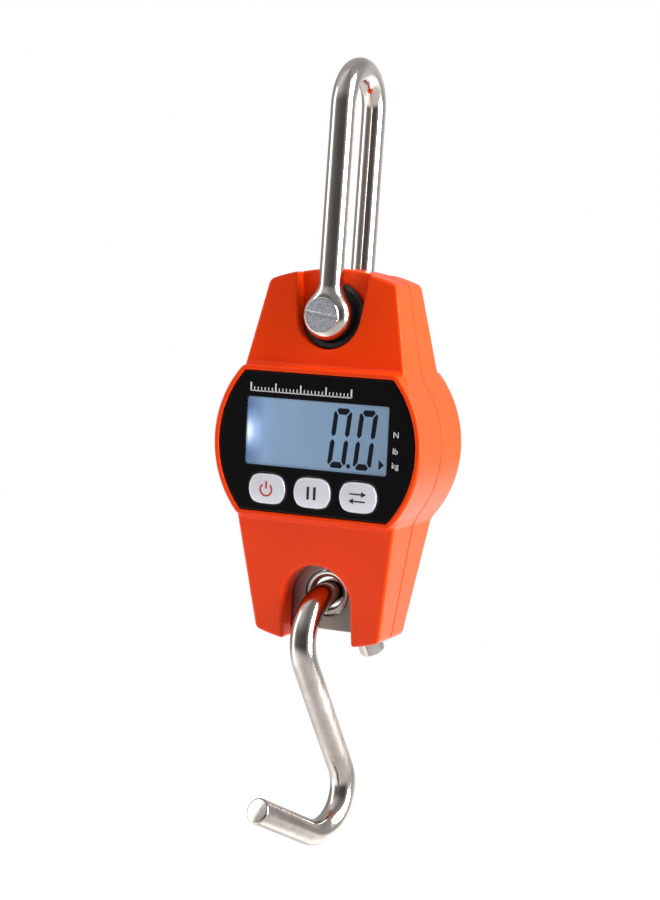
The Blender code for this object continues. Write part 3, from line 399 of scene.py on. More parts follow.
def pocket_and_slot(shape, x, d, z):
    shape = cut(shape, pocket_2d(x, z), POCKET_FLOOR - d, 0.6)
    shape = less(shape, np.hypot(x, z - PIN_Z) - POCKET_HOLE_R, 0.3)
    return less(shape, slot_2d(x, z), SLOT_EDGE)


def front_field(x, y, z):
    d = -y
    form, hollow = shell(x, d, z, FLOOR_BACK)
    hollow = cut(hollow, bosses(x, z, CELL_SCREWS, CELL_BOSS_R), CELL_BOSS_START - d)
    hollow = cut(hollow, bosses(x, z, POSTS, POST_R), POST_START - d)
    shape = pocket_and_slot(less(form, hollow), x, d, z)
    recess = disc_2d(x, z, PLATE_R + GAP, PLATE_FLAT_Z + GAP, 0.3)
    shape = cut(shape, recess, FLOOR_FRONT - d, 0.25)
    window = round_rect(x, z, LCD_HIGH.x + GAP, LCD_LOW.z - GAP, LCD_HIGH.z + GAP, 0.6)
    through = FLOOR_BACK - 1 - d
    shape = cut(shape, window, through)
    for name in BUTTONS:
        shape = cut(shape, button_2d(x, z, name, GAP), through)
    shape = cut(shape, bosses(x, z, SHELL_SCREWS, SCREW_HOLE_R), d - SCREW_HOLE_END)
    shape = cut(shape, bosses(x, z, CELL_SCREWS, CELL_HOLE_R), d - CELL_HOLE_END)
    return cut(shape, bosses(x, z, POSTS, POST_HOLE_R), d - POST_HOLE_END)


def rear_field(x, y, z):
    form, hollow = shell(x, y, z, REAR_FLOOR)
    shape = pocket_and_slot(less(form, hollow), x, y, z)
    opening = round_rect(x, z, DOOR_HIGH.x + GAP, -LID_HALF_Z - GAP, LID_HALF_Z + GAP, LID_CORNER)
    shape = cut(shape, opening, 12 - y, 0.3)
    shape = less(shape, bosses(x, z, SHELL_SCREWS, SCREW_HOLE_R))
    return cut(shape, bosses(x, z, SHELL_SCREWS, SCREW_BORE_R), SCREW_SEAT - y, 0.25)


def plate_field(x, y, z):
    outline = disc_2d(x, z, PLATE_R, PLATE_FLAT_Z, 0.5)
    shape = both(outline, slab(y, PLATE_LOW.y, PLATE_HIGH.y), 0.15)
    window = round_rect(x, z, WINDOW_HIGH.x + GAP, WINDOW_LOW.z - GAP, WINDOW_HIGH.z + GAP, 0.7)
    shape = less(shape, window, 0.12)
    for name in BUTTONS:
        shape = less(shape, button_2d(x, z, name, GAP), 0.2)
    return shape


def pane_field(low, high, corner, edge):
    """A flat pane that fills its CAD node's box."""

    def field(x, y, z):
        return both(round_rect(x, z, high.x, low.z, high.z, corner), slab(y, low.y, high.y), edge)

    return field


def crown(x, z, name):
    """How far a point of a button's face lies behind its highest point."""
    across = (x - BUTTON_X[name]) / (BUTTON_W / 2)
    up = (z - BUTTON_Z) / (BUTTON_H / 2)
    return BUTTON_CROWN * (across**2 + up**2)


def button_field(name):
    def field(x, y, z):
        face = -BUTTON_FRONT + crown(x, z, name) - y
        cap = both(button_2d(x, z, name), np.maximum(face, y + FLANGE_BACK), 0.55)
        off_x, off_z = np.abs(x - BUTTON_X[name]), np.abs(z - BUTTON_Z)
        flange = both(off_x - FLANGE_HALF_X, off_z - FLANGE_HALF_Z, 1.0)
        flange = np.maximum(flange, slab(y, -FLANGE_FRONT, -FLANGE_BACK))
        stem = np.maximum(np.hypot(off_x, off_z) - STEM_R, slab(y, -FLANGE_BACK - 0.2, -STEM_END))
        return np.minimum(np.minimum(cap, flange), stem)

    return field


def shackle_field(x, y, z):
    """A bent rod that swells into a thick round eye with flat faces at each end."""
    across, up = leaned(x, z, SHACKLE_LEAN)
    bend = (BOW_HIGH.z - PIN_Z) / math.cos(SHACKLE_LEAN) - ROD_R - LEG_Y
    off = np.where(up > bend, np.hypot(y, up - bend), np.abs(y)) - LEG_Y
    rod = np.maximum(np.hypot(off, across) - ROD_R, -up)
    eye = both(np.hypot(across, up) - EYE_R, np.abs(np.abs(y) - LEG_Y) - EYE_FLAT, EYE_EDGE)
    form = either(rod, eye, NECK_BLEND)
    flats = np.where(up < 2 * EYE_R, np.abs(np.abs(y) - LEG_Y) - EYE_FLAT, -2 * EDGE)
    form = both(form, flats, 0.2)
    return less(form, np.hypot(x, z - PIN_Z) - PIN_R - GAP, 0.35)


def pin_field(x, y, z):
    """A slotted cheese-head pin with a chamfered end."""
    radius = np.hypot(x, z - PIN_Z)
    seat = PIN_LOW.y + HEAD_THICK
    head = both(radius - HEAD_R, slab(y, PIN_LOW.y, seat), 0.28)
    shaft = both(radius - PIN_R, slab(y, seat - 0.3, PIN_HIGH.y), 0.5)
    off = leaned(x, z, HEAD_SLOT_TURN)[1]
    groove = both(np.abs(off) - HEAD_SLOT_W / 2, y - PIN_LOW.y - HEAD_SLOT_D, 0.1)
    return less(np.minimum(head, shaft), groove, 0.12)


def cell_field(x, y, z):
    """The load plate: round at the pin, pierced by a dog-bone and by the ring's hole."""
    widen = np.clip((CELL_NECK_Z - z) / (CELL_NECK_Z - CELL_SHOULDER_Z), 0, 1)
    width = CELL_TOP_R + (CELL_HALF_X - CELL_TOP_R) * widen
    outline = np.where(z > PIN_Z, np.hypot(x, z - PIN_Z) - CELL_TOP_R, np.abs(x) - width)
    outline = both(outline, CELL_BOTTOM_Z - z, CELL_CORNER)
    outline = less(outline, bosses(x, z, [(0, PIN_Z)], PIN_R + GAP))
    outline = less(outline, bosses(x, z, [(0, HOLE_Z)], BUSH_HIGH.x + GAP))
    outline = less(outline, bosses(x, z, [(0, BONE_Z), (0, -BONE_Z)], BONE_R))
    outline = less(outline, np.maximum(np.abs(x) - BONE_GROOVE, np.abs(z) - BONE_Z))
    outline = less(outline, bosses(x, z, CELL_SCREWS, SCREW_HOLE_R))
    return both(outline, np.abs(y) - CELL_HALF_Y, 0.35)


def washer_field(side):
    """A spacer with a collar round the lower part of the eye, sloping away upwards to clear the leg."""
    face = LEG_Y - EYE_FLAT - GAP
    low_z, end_z = PIN_Z - COLLAR_R, PIN_Z + COLLAR_END
    slope = (COLLAR_Y - face - GAP) / (end_z - low_z)

    def field(x, y, z):
        d = side * y
        radius = np.hypot(x, z - PIN_Z)
        plate = both(slab(radius, PIN_R + GAP, WASHER_R), slab(d, CELL_HALF_Y + GAP, face), 0.2)
        top = face + GAP + slope * np.maximum(end_z - z, 0)
        band = both(slab(radius, COLLAR_BORE_R, COLLAR_R), slab(d, POCKET_FLOOR + GAP, top), 0.3)
        return np.minimum(plate, band)

    return field


def door_field(x, y, z):
    """The battery lid with two tongues, a grip of three grooves and an arrowhead."""
    outline = round_rect(x, z, DOOR_HIGH.x, -LID_HALF_Z, LID_HALF_Z, LID_CORNER)
    shape = both(outline, slab(y, LID_FRONT, DOOR_HIGH.y), 0.35)
    off = np.abs(np.abs(x) - TONGUE_X) - TONGUE_HALF_X
    neck = np.maximum(off, np.maximum(slab(y, 13.2, 15.6), slab(z, 15.6, 16.9)))
    tongue = both(off, np.maximum(slab(y, 13.3, 14.7), slab(z, 16.2, 19.0)), 0.3)
    shape = np.minimum(shape, np.minimum(neck, tongue))
    grip_low, grip_pitch, grip_half, groove_r = -13.75, 2.0, 6.5, 0.5
    for i in range(3):
        rise = z - grip_low - grip_pitch * i
        groove = np.hypot(np.maximum(np.abs(x) - grip_half, 0), rise) - groove_r
        shape = cut(shape, groove, 16.6 - y, 0.2)
    arrow_tip, arrow_base, arrow_slope = -3.8, -7.0, 0.7
    arrow = both(np.abs(x) * arrow_slope + z - arrow_tip, arrow_base - z, 0.2)
    return cut(shape, arrow, 16.75 - y, 0.15)


def screw_field(x, y, z):
    """A pan-head screw with a cross recess, its head seat at y = 0 and its tip forwards."""
    head_r, head_rise, shaft_r, pitch, thread_depth = 2.35, 1.55, 1.25, 1.1, 0.12
    cross_half, cross_reach, cross_floor = 0.35, 1.35, 0.6
    radius = np.hypot(x, z)
    dome_r = 2.85
    dome = np.sqrt(x**2 + (y - head_rise + dome_r) ** 2 + z**2) - dome_r
    head = both(radius - head_r, np.maximum(dome, -y), 0.2)
    shaft = both(radius - shaft_r, slab(y, -13.2, 0.3), 0.5)
    thread = thread_depth * np.cos(2 * math.pi * y / pitch - np.arctan2(z, x))
    shaft = shaft + np.where(y < -2, thread * np.clip(-2 - y, 0, 1), 0.0)
    wide, narrow = np.maximum(np.abs(x), np.abs(z)), np.minimum(np.abs(x), np.abs(z))
    recess = np.maximum(narrow - cross_half, wide - cross_reach)
    return cut(np.minimum(head, shaft), recess, cross_floor - y, 0.08)


# ---- swept and turned pieces


def skinned(rings, closed=False):
    """Points and faces of a skin over rings of points, joined end to end or capped at both ends."""
    count = len(rings[0])
    points = [point for ring in rings for point in ring]
    faces = []
    for i in range(len(rings) if closed else len(rings) - 1):
        near, far = i * count, (i + 1) % len(rings) * count
        for k in range(count):
            m = (k + 1) % count
            faces.append((near + k, near + m, far + m, far + k))
    if not closed:
        faces.append(tuple(range(count - 1, -1, -1)))
        faces.append(tuple(range(len(points) - count, len(points))))
    return points, faces


def joined(shapes):
    """Several (points, faces) as one."""
    points, faces = [], []
    for more_points, more_faces in shapes:
        base = len(points)
        points += more_points
        faces += [[base + i for i in face] for face in more_faces]
    return points, faces


def swept(path, normal, radii, sides=64):
    """A round bar along a flat path."""
    rings = []
    turns = [2 * math.pi * k / sides for k in range(sides)]
    for i, (point, radius) in enumerate(zip(path, radii)):
        before, after = path[max(i - 1, 0)], path[min(i + 1, len(path) - 1)]
        across = (after - before).normalized().cross(normal)
        rings.append([point + (normal * math.cos(t) + across * math.sin(t)) * radius for t in turns])
    return skinned(rings)


def arc(cx, cz, radius, start, end, steps):
    turns = [start + (end - start) * i / steps for i in range(steps + 1)]
    return [(cx + radius * math.cos(t), cz + radius * math.sin(t)) for t in turns]


def onward(point, turn, length):
    """A point further along a straight, turn being 0 straight down."""
    return point[0] + length * math.sin(turn), point[1] - length * math.cos(turn)


def hook_path():
    """The hook's centre line in its own plane: tail, top bend, shank, low bend and tip."""
    start, tail_turn = math.pi + SHANK_SLOPE, math.pi + SHANK_SLOPE - HOOK_TOP_SWEEP
    top = arc(0, 0, HOOK_TOP_R, tail_turn, start, 90)
    foot_x, foot_z = onward(top[-1], SHANK_SLOPE, SHANK)
    centre_x = foot_x - HOOK_LOW_R * math.cos(SHANK_SLOPE)
    centre_z = foot_z - HOOK_LOW_R * math.sin(SHANK_SLOPE)
    tip_turn = SHANK_SLOPE - HOOK_LOW_SWEEP
    low = arc(centre_x, centre_z, HOOK_LOW_R, SHANK_SLOPE, tip_turn, 72)
    return [onward(top[0], tail_turn, HOOK_TAIL)] + top + low + [onward(low[-1], tip_turn, HOOK_TIP)]


def hook_mesh():
    along = Vector((-ROCK_AXIS.y, ROCK_AXIS.x, 0)).normalized()
    up = ROCK_AXIS.cross(along)
    flat = [Vector(p) for p in hook_path()]
    rounding = arc(HOOK_CHAMFER, HOOK_ROD_R - HOOK_CHAMFER, HOOK_CHAMFER, math.pi, math.pi / 2, 5)
    ends = []
    for tip, inner in ((flat[0], flat[1]), (flat[-1], flat[-2])):
        way = (inner - tip).normalized()
        ends.append([(tip + way * reach, radius) for reach, radius in rounding])
    middle = [(p, HOOK_ROD_R) for p in flat[1:-1]]
    stations = ends[0] + middle + ends[1][::-1]
    path = [ROCK_CENTRE + along * p.x + up * p.y for p, _ in stations]
    return swept(path, ROCK_AXIS, [radius for _, radius in stations])


def bush_mesh(steps=96):
    """The wear ring: a closed profile turned round the hole's axis, its throat flared at both faces."""
    half, face, waist, land, bevel = CELL_HALF_Y - 0.05, 6.1, 4.6, 0.4, 0.15
    throat = []
    for i in range(13):
        turn = math.pi / 2 * i / 12
        throat.append((face - (face - waist) * math.sin(turn), half - (half - land) * (1 - math.cos(turn))))
    outer = BUSH_HIGH.x
    profile = [(outer, -half + bevel), (outer - bevel, -half)] + [(r, -y) for r, y in throat]
    profile += throat[::-1] + [(outer - bevel, half), (outer, half - bevel)]
    turns = [2 * math.pi * i / steps for i in range(steps)]
    rings = [[(r * math.cos(t), y, r * math.sin(t) + HOLE_Z) for t in turns] for r, y in profile]
    return skinned(rings, closed=True)


def plates(shapes, front, back):
    """Thin flat prisms with (x, z) outlines, between the depths front and back."""
    made = []
    for shape in shapes:
        area = sum(a[0] * b[1] - b[0] * a[1] for a, b in zip(shape, shape[1:] + shape[:1]))
        outline = shape[::-1] if area > 0 else shape
        made.append(skinned([[(x, y, z) for x, z in outline] for y in (front, back)]))
    return joined(made)


def bands(strokes, front, thick):
    """Thin bands between two lines of (x, z) points. front gives their depth at a point."""
    made = []
    for edges in strokes:
        rings = []
        for left, right in zip(*edges):
            ring = [(left, 0), (right, 0), (right, thick), (left, thick)]
            rings.append([(x, front(x, z) + behind, z) for (x, z), behind in ring])
        made.append(skinned(rings))
    return joined(made)


# ---- materials


class Nodes:
    """A node tree, with short ways to add nodes to it."""

    def __init__(self, tree):
        self.tree = tree
        self.place = self.node("TexCoord").outputs["Object"]

    def node(self, kind, inputs=None, **settings):
        """A new node. An input is linked where it is given another node's output, and set otherwise."""
        made = self.tree.nodes.new("ShaderNode" + kind)
        for name, value in settings.items():
            setattr(made, name, value)
        for name, value in (inputs or {}).items():
            if isinstance(value, bpy.types.NodeSocket):
                self.tree.links.new(value, made.inputs[name])
            else:
                made.inputs[name].default_value = value
        return made

    def maths(self, operation, first, second=0.0):
        return self.node("Math", {0: first, 1: second}, operation=operation).outputs["Value"]

    def split(self, vector):
        return self.node("SeparateXYZ", {"Vector": vector}).outputs

    def ranged(self, value, low, high, start=0.3, end=0.7, **settings):
        inputs = {"Value": value, "From Min": start, "From Max": end, "To Min": low, "To Max": high}
        return self.node("MapRange", inputs, **settings).outputs["Result"]

    def mixed(self, factor, first, second, data_type="RGBA", **settings):
        inputs = {"Factor": factor, "A": first, "B": second}
        return self.node("Mix", inputs, data_type=data_type, **settings).outputs["Result"]

    def colours(self, value, stops):
        """A colour ramp through (position, colour) stops."""
        made = self.node("ValToRGB", {"Fac": value})
        ramp = made.color_ramp
        while len(ramp.elements) < len(stops):
            ramp.elements.new(0.5)
        for element, (position, colour) in zip(ramp.elements, stops):
            element.position = position
            element.color = (*colour, 1)
        return made.outputs["Color"]

    def stretched(self, scale):
        """Object coordinates scaled along X, Y and Z, for streaks."""
        return self.node("Mapping", {"Vector": self.place, "Scale": scale}).outputs["Vector"]

    def noise(self, scale, detail=3.0, place=None, rough=0.5):
        inputs = {"Vector": place or self.place, "Scale": scale, "Detail": detail, "Roughness": rough}
        return self.node("TexNoise", inputs).outputs["Fac"]

    def away(self, x, z, stretch=1.0):
        """Metres from a line along Y through (x, z) in display millimetres, Z counted stretch times."""
        middle = MIDDLE + Vector((x, 0, z)) * MM
        offset = self.node("VectorMath", {0: self.place, 1: middle}, operation="SUBTRACT")
        flat = {0: offset.outputs["Vector"], 1: (1.0, 0.0, stretch)}
        flat = self.node("VectorMath", flat, operation="MULTIPLY").outputs["Vector"]
        return self.node("VectorMath", {0: flat}, operation="LENGTH").outputs["Value"]


class Finish(Nodes):
    """A material with a Principled shader."""

    def __init__(self, name, colour, roughness, metallic=0.0):
        self.material = bpy.data.materials.new(name)
        self.material.use_nodes = True
        super().__init__(self.material.node_tree)
        self.colour = colour
        self.shader = self.tree.nodes["Principled BSDF"]
        self.set(Base_Color=(*colour, 1), Roughness=roughness, Metallic=metallic)

    def set(self, **values):
        for name, value in values.items():
            self.shader.inputs[name.replace("_", " ")].default_value = value
        return self

    def feed(self, name, output):
        self.tree.links.new(output, self.shader.inputs[name])
        return self

    def base(self, output):
        return self.feed("Base Color", output)

    def rough(self, output):
        return self.feed("Roughness", output)

    def bump(self, value, depth, strength=0.5):
        """Relief of a real depth in metres."""
        inputs = {"Height": value, "Distance": depth, "Strength": strength}
        return self.feed("Normal", self.node("Bump", inputs).outputs["Normal"])

    def clouded(self, scale, low, high=1.0, detail=3.0):
        """The finish's own colour, darker and lighter in soft patches."""
        stops = [(0.3, [c * low for c in self.colour]), (0.7, [c * high for c in self.colour])]
        return self.base(self.colours(self.noise(scale, detail), stops))


def moulded(name, colour, roughness, spread=0.05, grain=5200.0, depth=0.00001, **settings):
    """Moulded plastic: faint flow shading, fine spark-eroded grain and a slightly uneven gloss."""
    made = Finish(name, colour, roughness).set(**settings)
    made.clouded(38.0, 1 - spread, 1 + spread, 2.0)
    made.rough(made.ranged(made.noise(260.0), roughness - 0.02, roughness + 0.02))
    return made.bump(made.noise(grain, 2.0), depth, 0.35).material


def black_panel():
    made = Finish("black_panel", (0.003, 0.003, 0.0035), 0.12)
    made.rough(made.ranged(made.noise(400.0), 0.08, 0.16))
    made.bump(made.noise(120.0, 1.0), 0.000004, 0.2)
    return made.set(Specular_IOR_Level=0.3).material


def window_clear():
    """A thin clear pane: it lets light through and mirrors a little of what is in front of it."""
    made = Finish("window_clear", (1, 1, 1), 0.04)
    clear = made.node("BsdfTransparent").outputs["BSDF"]
    gloss = made.node("BsdfGlossy", {"Roughness": 0.04}).outputs["BSDF"]
    edge = made.node("Fresnel", {"IOR": 1.35}).outputs["Fac"]
    mix = made.node("MixShader", {"Fac": edge, 1: clear, 2: gloss}).outputs["Shader"]
    made.tree.links.new(mix, made.tree.nodes["Material Output"].inputs["Surface"])
    return made.material


def display_glow():
    """A blue-grey liquid crystal panel lit by a lamp behind its left edge."""
    made = Finish("display_glow", (0.1, 0.14, 0.2), 0.2)

    def tinted(first, second):
        return made.mixed(1.0, first, second, blend_type="MULTIPLY")

    lamp_z, reach, corner_reach = (WINDOW_LOW.z + WINDOW_HIGH.z) / 2 - 0.5, 46.0, 5.0
    lamp = made.away(WINDOW_LOW.x - 1.2, lamp_z, 0.62)
    stops = [
        (0.0, (1.3, 1.4, 1.4)),
        (0.035, (0.95, 1.1, 1.2)),
        (0.07, (0.42, 0.60, 0.98)),
        (0.13, (0.25, 0.39, 0.60)),
        (0.26, (0.225, 0.335, 0.485)),
        (0.7, (0.205, 0.315, 0.455)),
        (1.0, (0.165, 0.24, 0.345)),
    ]
    glow = made.colours(made.ranged(lamp, 0.0, 1.0, 0.0, reach * MM), stops)
    stops = [(0.0, (0.36, 0.40, 0.50)), (0.35, (0.55, 0.6, 0.68)), (1.0, (1, 1, 1))]
    for z in (WINDOW_HIGH.z - 2.6, WINDOW_LOW.z + 2.4):
        corner = made.away(WINDOW_LOW.x + 0.4, z, 0.8)
        glow = tinted(glow, made.colours(made.ranged(corner, 0.0, 1.0, 0.0, corner_reach * MM), stops))
    cloud = made.noise(90.0, 2.0, made.stretched((1.0, 1.0, 0.25)))
    made.feed("Emission Color", tinted(glow, made.ranged(cloud, 0.95, 1.05)))
    return made.set(Emission_Strength=0.9).material


def ink(name, colour, roughness=0.45):
    """Screen-printed ink with a slightly uneven surface."""
    made = Finish(name, colour, roughness).clouded(1500.0, 0.88)
    made.bump(made.noise(4000.0), 0.000004, 0.3)
    return made.set(Specular_IOR_Level=0.2).material


def pearl_plastic():
    """Silvery lacquered buttons with a fine sparkle."""
    made = Finish("pearl_plastic", (0.85, 0.85, 0.92), 0.3, 0.1)
    sparkle = made.node("TexVoronoi", {"Vector": made.place, "Scale": 5200.0}).outputs["Distance"]
    stops = [(0.0, (1.0, 1.0, 1.0)), (0.35, (0.86, 0.86, 0.93)), (1.0, (0.72, 0.72, 0.79))]
    made.base(made.colours(sparkle, stops))
    made.bump(made.noise(3000.0), 0.000006, 0.3)
    return made.set(Coat_Weight=0.5, Coat_Roughness=0.12).material


def steel(name, colour, low, high, streak=(900.0, 900.0, 60.0), depth=0.000003, stain=0.06):
    """Metal with fine polishing lines, cloudy gloss and a faint warm stain."""
    made = Finish(name, colour, (low + high) / 2, 1.0)
    lines = made.noise(1.0, 4.0, made.stretched(streak))
    warm = (colour[0] * (1 - stain), colour[1] * (1 - 1.6 * stain), colour[2] * (1 - 2.6 * stain))
    made.base(made.colours(made.noise(130.0), [(0.3, warm), (0.62, colour)]))
    made.rough(made.ranged(lines, low, high))
    return made.bump(lines, depth, 0.35).material


def hook_steel():
    """The hook's rod: polished where it is bent, and duller with a lengthwise grain along its shank."""
    made = Finish("hook_steel", (0.5, 0.45, 0.42), 0.2, 1.0)
    above = made.maths("SUBTRACT", made.split(made.place)["Z"], MIDDLE.z + HOOK_SHANK_Z * MM)
    dull = made.ranged(made.maths("ABSOLUTE", above), 0.40, 0.13, 0.009, 0.019)
    grain = made.noise(1.0, 4.0, made.stretched((900.0, 900.0, 160.0)))
    made.rough(made.maths("MULTIPLY", dull, made.ranged(grain, 0.8, 1.25)))
    cloud = made.noise(160.0, 4.0, rough=0.6)
    made.base(made.colours(cloud, [(0.3, (0.44, 0.385, 0.35)), (0.62, (0.55, 0.505, 0.475))]))
    return made.bump(grain, 0.000005, 0.4).material


def speckled_steel():
    """The pin: a blasted, cloudy head with light and dark flecks inside a polished rim."""
    made = Finish("speckled_steel", (0.5, 0.5, 0.53), 0.4, 1.0)
    rim = made.ranged(made.away(0, PIN_Z), 0.0, 1.0, (HEAD_R - 0.55) * MM, (HEAD_R - 0.35) * MM)
    flecks = made.noise(1500.0, 5.0, rough=0.75)
    stops = [(0.34, (0.26, 0.27, 0.31)), (0.5, (0.56, 0.57, 0.62)), (0.68, (0.92, 0.92, 0.94))]
    made.base(made.mixed(rim, made.colours(flecks, stops), (0.74, 0.73, 0.72, 1)))
    made.rough(made.mixed(rim, made.ranged(flecks, 0.55, 0.32), 0.14, "FLOAT"))
    return made.bump(made.noise(2200.0, 4.0), 0.00002, 0.5).material


def circuit_board():
    made = Finish("circuit_board", (0.015, 0.14, 0.05), 0.35)
    board = {"Color1": (0.012, 0.13, 0.045, 1), "Color2": (0.016, 0.15, 0.05, 1)}
    tracks = {"Mortar": (0.05, 0.26, 0.10, 1), "Scale": 240.0, "Vector": made.place}
    made.base(made.node("TexBrick", {**board, **tracks}).outputs["Color"])
    return made.bump(made.noise(700.0), 0.00001, 0.3).material


def battery_wrap():
    """A printed foil sleeve with a light band at one end of each cell."""
    made = Finish("battery_wrap", (0.03, 0.16, 0.36), 0.28, 0.4)
    half = 0.023
    along = made.ranged(made.split(made.place)["X"], 0.0, 1.0, MIDDLE.x - half, MIDDLE.x + half)
    stops = [
        (0.0, (0.55, 0.55, 0.58)), (0.12, (0.02, 0.14, 0.34)),
        (0.88, (0.02, 0.16, 0.38)), (0.97, (0.6, 0.6, 0.62)),
    ]
    made.base(made.colours(along, stops))
    return made.bump(made.noise(1200.0), 0.000005, 0.3).material


def wound_wire(name, colour):
    made = Finish(name, colour, 0.4).clouded(500.0, 0.8)
    return made.bump(made.noise(2500.0), 0.00001, 0.4).material


def gauge_foil():
    """Etched zigzag foil on an amber film."""
    made = Finish("gauge_foil", (0.55, 0.30, 0.10), 0.35)
    wave = made.node("TexWave", {"Vector": made.place, "Scale": 900.0}, bands_direction="Z").outputs["Fac"]
    made.base(made.colours(wave, [(0.4, (0.55, 0.28, 0.08)), (0.6, (0.35, 0.33, 0.3))]))
    return made.bump(wave, 0.00001, 0.3).material


def make_materials():
    return {
        "orange": moulded("orange_plastic", (0.95, 0.052, 0.0005), 0.31, 0.035, Specular_IOR_Level=0.18),
        "panel": black_panel(),
        "clear": window_clear(),
        "glow": display_glow(),
        "segment": ink("segment_ink", (0.002, 0.006, 0.028), 0.5),
        "white_ink": ink("white_ink", (0.85, 0.85, 0.85)),
        "red_ink": ink("red_ink", (0.62, 0.02, 0.03)),
        "dark_ink": ink("dark_ink", (0.03, 0.03, 0.035)),
        "pearl": pearl_plastic(),
        "shackle": steel("shackle_steel", (0.60, 0.56, 0.54), 0.10, 0.17),
        "hook": hook_steel(),
        "ring": steel("ring_steel", (0.85, 0.83, 0.80), 0.05, 0.1, (300.0, 300.0, 300.0)),
        "plate": steel("plate_steel", (0.36, 0.32, 0.30), 0.36, 0.5, (120.0, 120.0, 2400.0), 0.000005),
        "pin": speckled_steel(),
        "zinc": steel("zinc_steel", (0.62, 0.64, 0.68), 0.25, 0.4, (400.0, 400.0, 400.0)),
        "black": moulded("black_plastic", (0.018, 0.018, 0.019), 0.5, 0.1),
        "white": moulded("white_plastic", (0.78, 0.78, 0.75), 0.5, 0.03),
        "rubber": moulded(
            "black_rubber", (0.003, 0.003, 0.003), 0.6, 0.15, 2500.0, 0.00002, Specular_IOR_Level=0.12
        ),
        "board": circuit_board(),
        "battery": battery_wrap(),
        "lead_red": wound_wire("lead_red", (0.5, 0.02, 0.02)),
        "lead_black": wound_wire("lead_black", (0.02, 0.02, 0.02)),
        "lead_white": wound_wire("lead_white", (0.7, 0.7, 0.68)),
        "gauge": gauge_foil(),
    }


def dress_cad_nodes(finishes):
    """Gives each CAD node that stays visible its own procedural finish, by how its name starts."""
    dressed = {
        "black": ("battery_tray", "controller_chip", "adc_chip", "tact_switch"),
        "white": ("lcd_backlight", "lcd_holder"),
        "rubber": ("zebra_strip",),
        "board": ("main_pcb",),
        "gauge": ("strain_gauge",),
        "battery": ("battery_1", "battery_2", "battery_3"),
        "zinc": ("contact_", "cell_screw", "pcb_screw"),
        "lead_red": ("battery_lead_red",),
        "lead_black": ("battery_lead_black",),
        "lead_white": ("load_cell_cable",),
    }
    for finish_name, starts in dressed.items():
        for name, node in frame["nodes"].items():
            if name.startswith(starts):
                node.data.materials.clear()
                node.data.materials.append(finishes[finish_name])


# ---- pieces


def housings(finishes):
    orange, low_z, high_z, step = finishes["orange"], -61.5, 52.5, 0.42
    box = (-DISC_R, -DISC_DEPTH, low_z), (DISC_R, 0, high_z)
    solid("front_shell", "front_housing", front_field, step, 0.3, "housing", orange, box)
    box = (-DISC_R, 0, low_z), (DISC_R, DISC_DEPTH, high_z)
    solid("rear_shell", "rear_housing", rear_field, step, 0.3, "housing", orange, box)
    box = (-25, 13, -18), (25, 17.2, 19.2)
    solid("battery_lid", "battery_door", door_field, 0.25, 0.2, "battery_lid", orange, box)


def front_panel(finishes):
    pane, glass = pane_field(WINDOW_LOW, WINDOW_HIGH, 0.6, 0.06), pane_field(LCD_LOW, LCD_HIGH, 0.2, 0.1)
    solid("display_panel", "faceplate", plate_field, 0.26, 0.15, "housing", finishes["panel"])
    solid("window_pane", "lcd_window", pane, 0.24, 0.15, "housing", finishes["clear"])
    solid("display_glass", "lcd_glass", glass, 0.25, 0.15, "housing", finishes["glow"])


DIGIT_W, DIGIT_H, DIGIT_T, DIGIT_SLANT = 5.75, 17.6, 1.4, 0.1
DIGIT_MIDDLE_Z = 2.7
DIGIT_X = (7.1, 15.25)
DIGIT_BAR = 1.85
DIGIT_JOIN = 0.45


def digit_zero(centre_x):
    """The six lit bars of a slanted seven-bar zero."""
    w, h, t = DIGIT_W / 2, DIGIT_H / 2, DIGIT_T
    top_z, low_z = h - 1.0, DIGIT_JOIN
    side = [
        (w - t, top_z - 1.15), (w - t, low_z + 0.75), (w - t / 2 - 0.1, low_z), (w - t / 2 + 0.1, low_z),
        (w, low_z + 0.75), (w, top_z - 0.35), (w - 0.3, top_z), (w - 0.6, top_z - 0.05),
    ]
    top = [
        (-w + 0.85, h - 0.75), (-w + 1.35, h), (w - 1.35, h), (w - 0.85, h - 0.75),
        (w - t - 0.35, h - DIGIT_BAR), (-w + t + 0.35, h - DIGIT_BAR),
    ]
    bars = [[(sx * x, sz * z) for x, z in side] for sx in (1, -1) for sz in (1, -1)]
    bars += [[(x, sz * z) for x, z in top] for sz in (1, -1)]
    return [[(centre_x + x + DIGIT_SLANT * z, DIGIT_MIDDLE_Z + z) for x, z in bar] for bar in bars]


def display_marks(finishes):
    """The lit digits, the decimal point and the pointer beside the unit in use."""
    shapes = [bar for x in DIGIT_X for bar in digit_zero(x)]
    dot, dot_x, dot_z = 0.68, 10.2, DIGIT_MIDDLE_Z - DIGIT_H / 2 + 0.85
    shapes.append([(dot_x + dot * math.cos(t), dot_z + dot * math.sin(t)) for t in np.linspace(0, 5.5, 8)])
    point_x, point_z = 19.75, -4.05
    shapes.append([(point_x, point_z - 1.5), (point_x + 1.7, point_z), (point_x, point_z + 1.5)])
    marks = plates(shapes, LCD_LOW.y - 0.12, LCD_LOW.y - 0.04)
    put("display_digits", marks, "housing", finishes["segment"])


def rectangle(x, half, low, high):
    return [(x - half, low), (x + half, low), (x + half, high), (x - half, high)]


